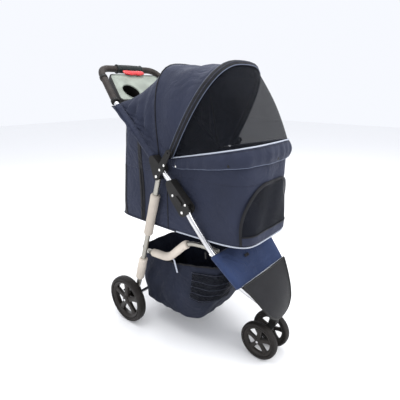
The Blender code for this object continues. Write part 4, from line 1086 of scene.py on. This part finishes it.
pad = stuffed(slab("floor_pad", 0.0135, FLOOR + 0.0110, FLOOR + 0.0298), PAD_CAP)
crumple(pad)
fit(pad, "root", "navy_fabric", pad_cloth, "floor_cushion")


def on_front(x, z, proud):
    """A place on the front wall at a distance from its middle line."""
    square = mix(6.0, 4.0, np.clip((z - FLOOR) / (TOP - FLOOR) / 0.75, 0, 1))
    deep = NOSE * (1 - np.abs(x / HALF) ** square) ** (1 / square)
    return wall(np.arctan2(-deep, x), z, proud)


# The door's foot, the seam over its canvas band, its crown and its half width.
DOOR_FOOT, DOOR_SEAM, DOOR_TOP, DOOR_WIDE = 0.461, 0.490, 0.6545, 0.143


def door_half(z):
    """Half width of the door: even up to the seam, then a squared arch."""
    up = np.clip((z - DOOR_SEAM) / (DOOR_TOP - DOOR_SEAM), 0, 0.9999)
    return DOOR_WIDE * (1 - up ** 2.6) ** (1 / 2.6)


levels = mix(DOOR_FOOT + 0.001, DOOR_TOP - 0.0045, np.linspace(0, 1, 40)[:, None] ** 0.9)
span = np.linspace(-1, 1, 61)[None]
door = surface("door_mesh", on_front(door_half(levels) * span, levels + 0 * span, 0.0035),
               inside=(0, 0, 0.56))
crumple(door)
fit(door, "root", "black_mesh", door_net, "front_door")
low_levels = np.linspace(DOOR_FOOT, DOOR_SEAM - 0.001, 8)[:, None]
hem_grid = on_front((DOOR_WIDE + 0.001) * span, low_levels + 0 * span, 0.0040)
hem = thick(surface("door_foot", hem_grid, inside=(0, 0, 0.56)), 0.0010, 1.0)
crumple(hem)
fit(hem, "root", "navy_fabric", navy_canvas)
arch = np.sin(np.linspace(0.03, 1, 26) * np.pi / 2)
rise = np.concatenate([np.linspace(DOOR_FOOT, 0.60, 30), 0.60 + 0.0500 * arch])
flat_x = np.concatenate([door_half(rise), -door_half(rise)[::-1]])
flat_z = np.concatenate([rise, rise[::-1]])
line = on_front(flat_x, flat_z, 0.0048)
facing = line - (0, MID_Y, 0)
facing[:, 2] = 0
bind = carry("door_binding", line, circle(1.0, 16) * (0.0018, 0.0060), facing)
crumple(bind)
fit(bind, "root", "black_mesh", black_binding)
line = on_front(np.linspace(-DOOR_WIDE, DOOR_WIDE, 60), np.full(60, DOOR_SEAM), 0.0050)
seam = carry("door_seam", line, circle(1.0, 12) * (0.0012, 0.0026), line * (1, 1, 0))
crumple(seam)
fit(seam, "root", "black_mesh", black_binding)

# ---------------------------------------------------------------- flap and rail
# A puffed canvas flap hangs from the rail round the front of the cabin, piped along its lower edge and held
# at each end by a snap. The rail itself is bound, with a pale cord along it whose pale colour is a painted
# highlight along the rail's top edge.
lap = np.linspace(-math.pi + 0.05, -0.05, 200)[None]
down = np.linspace(0, 1, 22)[:, None]
base = wall(lap, 0.70)
top_z = rim_height(base[..., 1])
top_z = rim_height(wall(lap, top_z)[..., 1]) + 0.001
nose = np.clip(-np.sin(lap), 0, 1)
drop = mix(0.016, 0.058, np.clip(nose * 3.2 + 0.1, 0, 1) ** 0.5 * (0.45 + 0.55 * nose ** 2))
puff = 0.0015 + 0.0115 * np.sin(np.pi * np.clip(down * 0.86 + 0.02, 0, 1)) ** 0.8
puff = puff * (1 + 0.16 * np.sin(lap * 21) + 0.10 * np.sin(lap * 47 + 1)) * np.clip(nose * 4 + 0.25, 0, 1)
flap_grid = wall(lap + 0 * down, top_z - drop * down, puff)
fit(thick(surface("front_flap", flap_grid, inside=(0, 0, 0.7)), TRIM_CLOTH, 1.0), "root",
    "navy_fabric", navy_canvas)
edge_piping = cloth("edge_piping", (0.075, 0.095, 0.150), 0.5, 500.0, 0.1, 0.3)
piping("flap_piping", flap_grid[-1] + (0, 0, 0.0005), 0.0020, "root", "navy_fabric", edge_piping)
# The rail cord's pale colour is a painted highlight along the rail's top edge.
piping("rail_cord", wall(lap, top_z, 0.0042)[0] + (0, 0, 0.0022), 0.0024, "root", "navy_fabric",
       reflective_cord)
piping("rail_stitch", flap_grid[2], 0.0014, "root", "black_mesh", black_binding, 10)
SNAP_ROW = 17
for name, column, paint in (("near", 8, rivet_bright), ("fore_near", 60, black_nylon),
                            ("fore_mid", 100, black_nylon), ("fore_far", 140, black_nylon),
                            ("far", 191, rivet_bright)):
    spot = flap_grid[SNAP_ROW, column]
    way = (spot - (0, MID_Y, spot[2])) * (1, 1, 0)
    way = way / np.linalg.norm(way)
    fit(rivet("snap_" + name, spot + way * 0.0012, way, 0.0048, 0.0020), "root", "rivet_steel", paint)

# ---------------------------------------------------------------- canopy
# The cloth hood: a pleated rear part hemmed round the handle tubes, a roof between two bows, and
# a net window from the front bow down to the rail. The front bow and window swing back.
# Each arch is a (y, z) for its feet and one for its crown.
REAR_BOW = ((0.029, 0.702), (0.072, 1.008))
FORE_BOW = ((-0.022, 0.713), (-0.184, 1.0045))
RAIL = ((-0.026, 0.713), (-0.3130, 0.768))
REAR_EDGE = ((0.229, 0.868), (0.236, 0.890))
BOW_HALF, ROUNDNESS = 0.1724, 3.0


def hood(low, high, t, phi, square, half, bulge=(0.0, 0.0)):
    """A place on the hood: phi round an arch, t of the way from one arch to the next."""
    x, up = squared(phi, half, 1.0, square)
    swell = np.sin(np.pi * t)
    y = mix(mix(low[0][0], high[0][0], t), mix(low[1][0], high[1][0], t) + bulge[0] * swell, up)
    z = mix(mix(low[0][1], high[0][1], t), mix(low[1][1], high[1][1], t) + bulge[1] * swell, up)
    return np.stack(np.broadcast_arrays(x, y, z), -1), up


def puffed(grid, amount, middle):
    """Push a grid of points straight out from the hood's middle."""
    away = grid - middle
    away = away / np.linalg.norm(away, axis=-1, keepdims=True)
    return grid + away * amount[..., None]


def arch_line(arch, half, start):
    """A line round one arch, which starts and ends a turn of start above its feet."""
    phi = np.linspace(start, np.pi - start, 120)
    return hood(arch, arch, 0.0, phi, ROUNDNESS, half)[0]


phi = np.linspace(0, np.pi, 170)[None]
t = np.linspace(0, 1, 64)[:, None]
rear, up = hood(REAR_BOW, REAR_EDGE, t, phi, mix(ROUNDNESS, 2.6, t), HALF + 0.0036)
flare = 0.0345 * np.exp(-up / 0.045) * np.sign(np.cos(phi)) * np.clip((t + 0.02) * 9, 0, 1) ** 0.5
pleats = 0.0055 * np.sin(t * 26 + up * 5) * np.exp(-((up - 0.30) / 0.30) ** 2) * np.sin(np.pi * t) ** 0.6
slack = -0.0060 * np.sin(np.pi * t) * np.exp(-((up - 0.95) / 0.3) ** 2)
ripple = (0.0020 * np.sin(phi * 9 + t * 8) + 0.0014 * np.sin(phi * 23 - t * 15)) * np.sin(np.pi * t)
rear = puffed(rear, pleats + slack + ripple, (0, 0.09, 0.80))
rear[..., 0] += flare
rear[..., 2] += 0.0012
fit(thick(surface("hood_rear", rear, inside=(0, 0.1, 0.75)), TRIM_CLOTH, 1.0), "root",
    "navy_fabric", navy_canvas, "canopy_rear")
for side, mark in SIDES:
    hem_line = evenly(np.array([(0.188, 0.040, 0.7100), (0.188, 0.062, 0.7290),
                                (0.1797, 0.222, 0.8700)]) * (mark, 1, 1), 0.005)
    run = np.arange(len(hem_line))
    sleeve = carry("hem_sleeve_" + side, hem_line, circle(0.0122, 24), steady(hem_line),
                   scale=1 + 0.04 * np.sin(run * 1.3) + 0.03 * np.sin(run * 0.57))
    fit(sleeve, "root", "navy_fabric", navy_canvas)
    y = np.linspace(0.020, 0.2290, 40)[:, None]
    x = np.linspace(0.1610, 0.1905, 6)[None] * mark
    strip = np.stack(np.broadcast_arrays(x, y, 0.6750 + 0.83 * y), -1)
    gusset = surface("hem_gusset_" + side, strip, inside=(0, 0, 0))
    fit(thick(gusset, TRIM_CLOTH), "root", "navy_fabric", navy_canvas)

t = np.linspace(0, 1, 56)[:, None]
roof, up = hood(REAR_BOW, FORE_BOW, t, phi, ROUNDNESS, mix(HALF + 0.0040, HALF + 0.0085, t),
                (0.0, -0.004))
slant = (0.0030 * np.sin(roof[..., 0] * 24 + roof[..., 1] * 52) + 0.0018 * np.sin(phi * 13 - t * 9)
         + 0.0012 * np.sin(roof[..., 0] * 71 - roof[..., 1] * 33 + 1.3))
drape = (slant - 0.0035 * np.exp(-((up - 0.98) / 0.25) ** 2)) * np.sin(np.pi * t) ** 0.8
roof = puffed(roof, drape, (0, -0.03, 0.78))
roof[..., 2] += 0.0012
roof = thick(surface("hood_roof", roof, inside=(0, 0, 0.7)), TRIM_CLOTH, 1.0)
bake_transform(roof, "root", "canopy_front", (0, 0.07, 1.0), (0, -0.18, 1.0))
roof.data.materials.append(navy_canvas)
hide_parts("canopy_roof")

t = np.linspace(0, 1, 60)[:, None]
net = hood(FORE_BOW, RAIL, t, phi, mix(ROUNDNESS, 4.0, t), mix(HALF + 0.0085, HALF + 0.0036, t),
           (-0.012, 0.006))[0]
sag = -0.0030 * np.sin(np.pi * t) * (1 + 0.5 * np.sin(phi * 7))
net = puffed(net, sag, (0, -0.10, 0.76))
net[..., 2] += 0.0012
fit(surface("window_sheet", net, inside=(0, 0, 0.7)), "canopy_front", "black_mesh", window_net,
    "canopy_window")

bow_line = arch_line(FORE_BOW, BOW_HALF, 0.09)
foot = np.array((0.1880, *BOW_PIVOT))
full = np.concatenate([foot[None], bow_line, foot[None] * (-1, 1, 1)])
fit(tube("fore_bow_rod", evenly(full, 0.006), 0.0045, 12, round_end=0.003), "canopy_front",
    "bow_rod", black_nylon, "front_bow")
across = np.tile(np.cross((1.0, 0, 0), (0, FORE_BOW[1][0] - FORE_BOW[0][0],
                                        FORE_BOW[1][1] - FORE_BOW[0][1])), (120, 1))
across = across / np.linalg.norm(across, axis=1, keepdims=True)
band_line = arch_line(FORE_BOW, BOW_HALF, 0.13)
fit(carry("bow_band", band_line, circle(1.0, 28) * (0.0130, 0.0064), across), "canopy_front",
    "navy_fabric", black_binding)
outer = np.cross(tangents(band_line), across)
outer = outer * np.sign((outer * (band_line - (0, -0.1, 0.8))).sum(1, keepdims=True))
for name, shift, lift, paint in (("rear", 0.0125, 0.0012, edge_piping),
                                 ("middle", 0.0030, 0.0062, dark_cord),
                                 ("fore", -0.0125, 0.0012, edge_piping)):
    line = band_line + across * shift + outer * lift
    fit(carry("band_cord_" + name, line, circle(0.0013, 10), across), "canopy_front",
        "navy_fabric", paint)
low, high = REAR_BOW
inner_line = arch_line(((low[0] + 0.002, low[1] + 0.010), (high[0], high[1] - 0.0085)),
                       HALF - 0.0085, 0.02)
fit(tube("rear_bow_rod", inner_line, 0.0035, 12, round_end=0.002), "root", "bow_rod", black_nylon,
    "rear_bow")
piping("rear_bow_piping", arch_line(REAR_BOW, HALF + 0.0055, 0.03) + (0, 0, 0.0030), 0.0020, "root",
       "black_mesh", black_binding)
piping("rear_edge_piping", rear[-1], 0.0020, "root", "black_mesh", black_binding)

# ---------------------------------------------------------------- basket
# A slack bag of dark navy cloth slung between the side links. A net pocket is sewn on each
# side and a webbing strap holds each upper edge.
basket_cloth = cloth("basket_cloth", (0.010, 0.013, 0.026), 0.78, 600.0, 0.3, 0.06)
# Rings of the bag: height, half width, rear edge, fore edge, and how far the fore edge lifts.
RINGS = np.array(((0.087, 0.127, 0.187, -0.089, 0.0), (0.098, 0.142, 0.196, -0.112, 0.0),
                  (0.190, 0.142, 0.213, -0.165, 0.0), (0.260, 0.132, 0.229, -0.200, 0.02),
                  (0.295, 0.126, 0.241, -0.213, 0.055)))
BAG_FOOT, BAG_RIM = RINGS[0, 0], RINGS[-1, 0]


def bag(angle, level, proud=0.0):
    """A place on the basket: level runs from 0 at its foot to 1 at its open top."""
    angle, level = np.broadcast_arrays(np.asarray(angle, float), np.asarray(level, float))
    height = mix(BAG_FOOT, BAG_RIM, level)
    half, rear_y, fore_y, lift = (np.interp(height, RINGS[:, 0], RINGS[:, k]) for k in (1, 2, 3, 4))
    x, y = squared(angle, half + proud, (rear_y - fore_y) / 2 + proud, 5.0)
    slack = np.sin(np.pi * np.clip(level * 1.1, 0, 1))
    wrinkle = 0.0030 * np.sin(angle * 8 + level * 5) * slack + 0.0018 * np.sin(angle * 19 - level * 9)
    size = 1 + wrinkle / np.hypot(x, y)
    ahead = np.clip(-y / (rear_y - fore_y) * 2, 0, None)
    middle = (rear_y + fore_y) / 2
    dip = -0.006 * np.abs(np.sin(angle)) ** 4 * level
    return np.stack([x * size, middle + y * size, height + lift * ahead + dip], -1)


turn = np.linspace(0, 2 * np.pi, 200, endpoint=False)[None]
under = bag(turn, 0.0)
centre = np.array((0, 0.049, BAG_FOOT - 0.0005))
foot_rows = np.concatenate([centre + (under - centre) * s for s in (0.35, 0.7, 0.93)])
bag_grid = np.concatenate([foot_rows, bag(turn, np.linspace(0, 1, 44)[:, None])])


def slump(obj):
    """Give a basket piece its own copy of its mesh."""
    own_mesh(obj)


bag_cloth = surface("basket_bag", bag_grid, ring=True, caps="first", inside=(0, 0, 0.2))
thick(bag_cloth, 0.0014)
slump(bag_cloth)
fit(bag_cloth, "side_links", "basket_fabric", basket_cloth, "basket")
line = bag(turn[0], 1.0) + (0, 0, 0.0005)
edge = carry("basket_binding", line, circle(0.0030, 12), steady(line), closed=True)
slump(edge)
fit(edge, "side_links", "basket_fabric", black_binding)
for side, mark in SIDES:
    lo, hi = math.atan2(-0.10, mark * 0.14), math.atan2(-0.19, mark * 0.03)
    angle = np.linspace(lo, hi, 30)[None]
    pocket = surface("basket_pocket_" + side, bag(angle, np.linspace(0.50, 0.93, 14)[:, None], 0.004),
                     inside=(0, 0, 0.2))
    slump(pocket)
    fit(pocket, "side_links", "basket_fabric", window_net)
    for k in range(5):
        line = bag(angle[0], 0.52 + 0.1 * k, 0.0050)
        cord = carry("pocket_cord_%d_%s" % (k + 1, side), line, circle(0.0011, 8), steady(line))
        slump(cord)
        fit(cord, "side_links", "basket_fabric", dark_cord)
    line = evenly(np.array([(mark * 0.1475, 0.020, 0.343), (mark * 0.1400, 0.000, 0.318),
                            (mark * 0.1370, -0.012, 0.270)]), 0.004)
    strap = carry("basket_strap_" + side, line, circle(1.0, 12) * (0.0014, 0.0045),
                  np.tile((1.0, 0, 0), (len(line), 1)))
    fit(strap, "side_links", "basket_fabric", reflective_cord)
    for name, y, z in (("rear", 0.080, 0.3350), ("fore", -0.150, 0.4000)):
        hook = evenly(np.array([(mark * 0.140, y, z), (mark * 0.1385, y - 0.001, z - 0.024)]), 0.004)
        fit(tube("basket_hook_%s_%s" % (name, side), hook, 0.0032, 12), "side_links",
            "black_plastic", black_nylon)

# ---------------------------------------------------------------- front panel and guard
# A canvas panel wraps round both front tubes. It is the navy cloth painted brighter and bluer, as painted
# light on its lit front face. Below it a curved moulded guard with a fine pierced pattern and a raised
# border closes the space down to the head.
t = np.linspace(0, 1, 26)[:, None]
share = mix(0.07, 1.035, t)
centre_y = mix(FRONT_PIVOT[0], SHIELD_TOP[0], share)
centre_z = mix(FRONT_PIVOT[1], SHIELD_TOP[1], share)
tube_x = mix(PIVOT_X, SHIELD_X, share)
AHEAD = np.array((0.0, -0.722, 0.692))
curl = np.linspace(math.pi * 1.05, 0, 18)[None]
wrap_r = 0.0120
flat_u = np.linspace(-1, 1, 41)[None, 1:-1]
left_x = -tube_x - wrap_r * np.sin(curl)
right_x = tube_x + wrap_r * np.sin(curl[:, ::-1])
x = np.concatenate([left_x, flat_u * tube_x, right_x], 1)
slack = (0.0015 * np.sin(flat_u * 9) - 0.002 * (1 - flat_u ** 2)) * np.sin(np.pi * t)
away = np.concatenate([wrap_r * np.cos(curl) + 0 * t, wrap_r + slack,
                       wrap_r * np.cos(curl[:, ::-1]) + 0 * t], 1)
grid = np.stack([x, centre_y + AHEAD[1] * away, centre_z + AHEAD[2] * away], -1)
fit(thick(surface("panel_cloth", grid, inside=(0, -0.1, 0.2)), TRIM_CLOTH, 1.0), "front_frame",
    "navy_fabric", blue_canvas, "front_panel")
for name, row, paint in (("low", -1, reflective_cord), ("high", 0, dark_cord)):
    piping("panel_edge_" + name, grid[row, 16:-16], 0.0017, "front_frame", "navy_fabric", paint, 10)
across = np.linspace(-0.012, 0.012, 20)[None]
rows = np.linspace(0.42, 0.50, 8)[:, None]
tab_y = mix(FRONT_PIVOT[0], SHIELD_TOP[0], rows) + AHEAD[1] * 0.0140
tab_z = mix(FRONT_PIVOT[1], SHIELD_TOP[1], rows) + AHEAD[2] * 0.0140
tab = np.stack(np.broadcast_arrays(across - 0.03, tab_y, tab_z), -1)
fit(thick(surface("panel_tab", tab, inside=(0, 0, 0)), 0.0008, 1.0), "front_frame", "black_mesh",
    black_binding)


def make_guard():
    """Pierced black moulding: rows of small round holes with a soft gloss."""
    made, tree, shader = finish_start("guard_plastic", (0.010, 0.010, 0.012), 0.42, 30.0, 0.2, 0.2)
    lengths = node(tree, "ShaderNodeUVMap", uv_map="UVMap")
    cells = node(tree, "ShaderNodeTexVoronoi", {"Vector": lengths.outputs[0], "Scale": 330.0,
                                                "Randomness": 0.0})
    pit = node(tree, "ShaderNodeMapRange", {"Value": cells.outputs["Distance"], "From Min": 0.15,
                                            "From Max": 0.4})
    bumpy(tree, shader, pit.outputs[0], 0.8, 0.0012)
    return made


guard_plastic = make_guard()
GUARD_TOP, GUARD_FOOT = 0.326, 0.177
# The guard's outline: height and half width.
GUARD = np.array(((GUARD_TOP, 0.141), (0.280, 0.116), (0.245, 0.098), (0.215, 0.080), (0.195, 0.058),
                  (0.183, 0.033), (0.1765, 0.004)))[::-1]


def guard(z, u, proud=0.0):
    """A place on the guard: u runs from -1 to 1 across it."""
    t = (GUARD_TOP - z) / (GUARD_TOP - GUARD_FOOT)
    y = mix(SHIELD_TOP[0] - 0.017, SWIVEL[1] - 0.028, 1 - np.clip(1 - t, 0, 1) ** 1.5) - proud
    half = np.interp(z, GUARD[:, 0], GUARD[:, 1])
    bow = (0.003 + 0.007 * np.sin(np.pi * t)) * (1 - u * u)
    return np.stack(np.broadcast_arrays(half * u, y - bow, z), -1)


rise = np.linspace(GUARD_FOOT + 0.0002, GUARD_TOP, 60)[:, None]
fit(thick(surface("guard_sheet", guard(rise, np.linspace(-1, 1, 61)[None], -0.0012),
                  inside=(0, 0, 0.25)), 0.0024, 1.0), "front_frame", "black_plastic", guard_plastic,
    "front_shield")
edge = np.concatenate([guard(rise[::-1, 0], np.array(-0.985)), guard(rise[:, 0], np.array(0.985)),
                       guard(np.array(GUARD_TOP - 0.0008), np.linspace(0.94, -0.94, 40))])
for _ in range(3):
    edge = (np.roll(edge, 1, 0) + edge * 2 + np.roll(edge, -1, 0)) / 4
fit(carry("guard_border", edge + (0, -0.0010, 0), circle(1.0, 16) * (0.0028, 0.0036),
          np.tile((0.0, -1.0, 0.2), (len(edge), 1)), closed=True), "front_frame", "black_plastic",
    black_nylon)
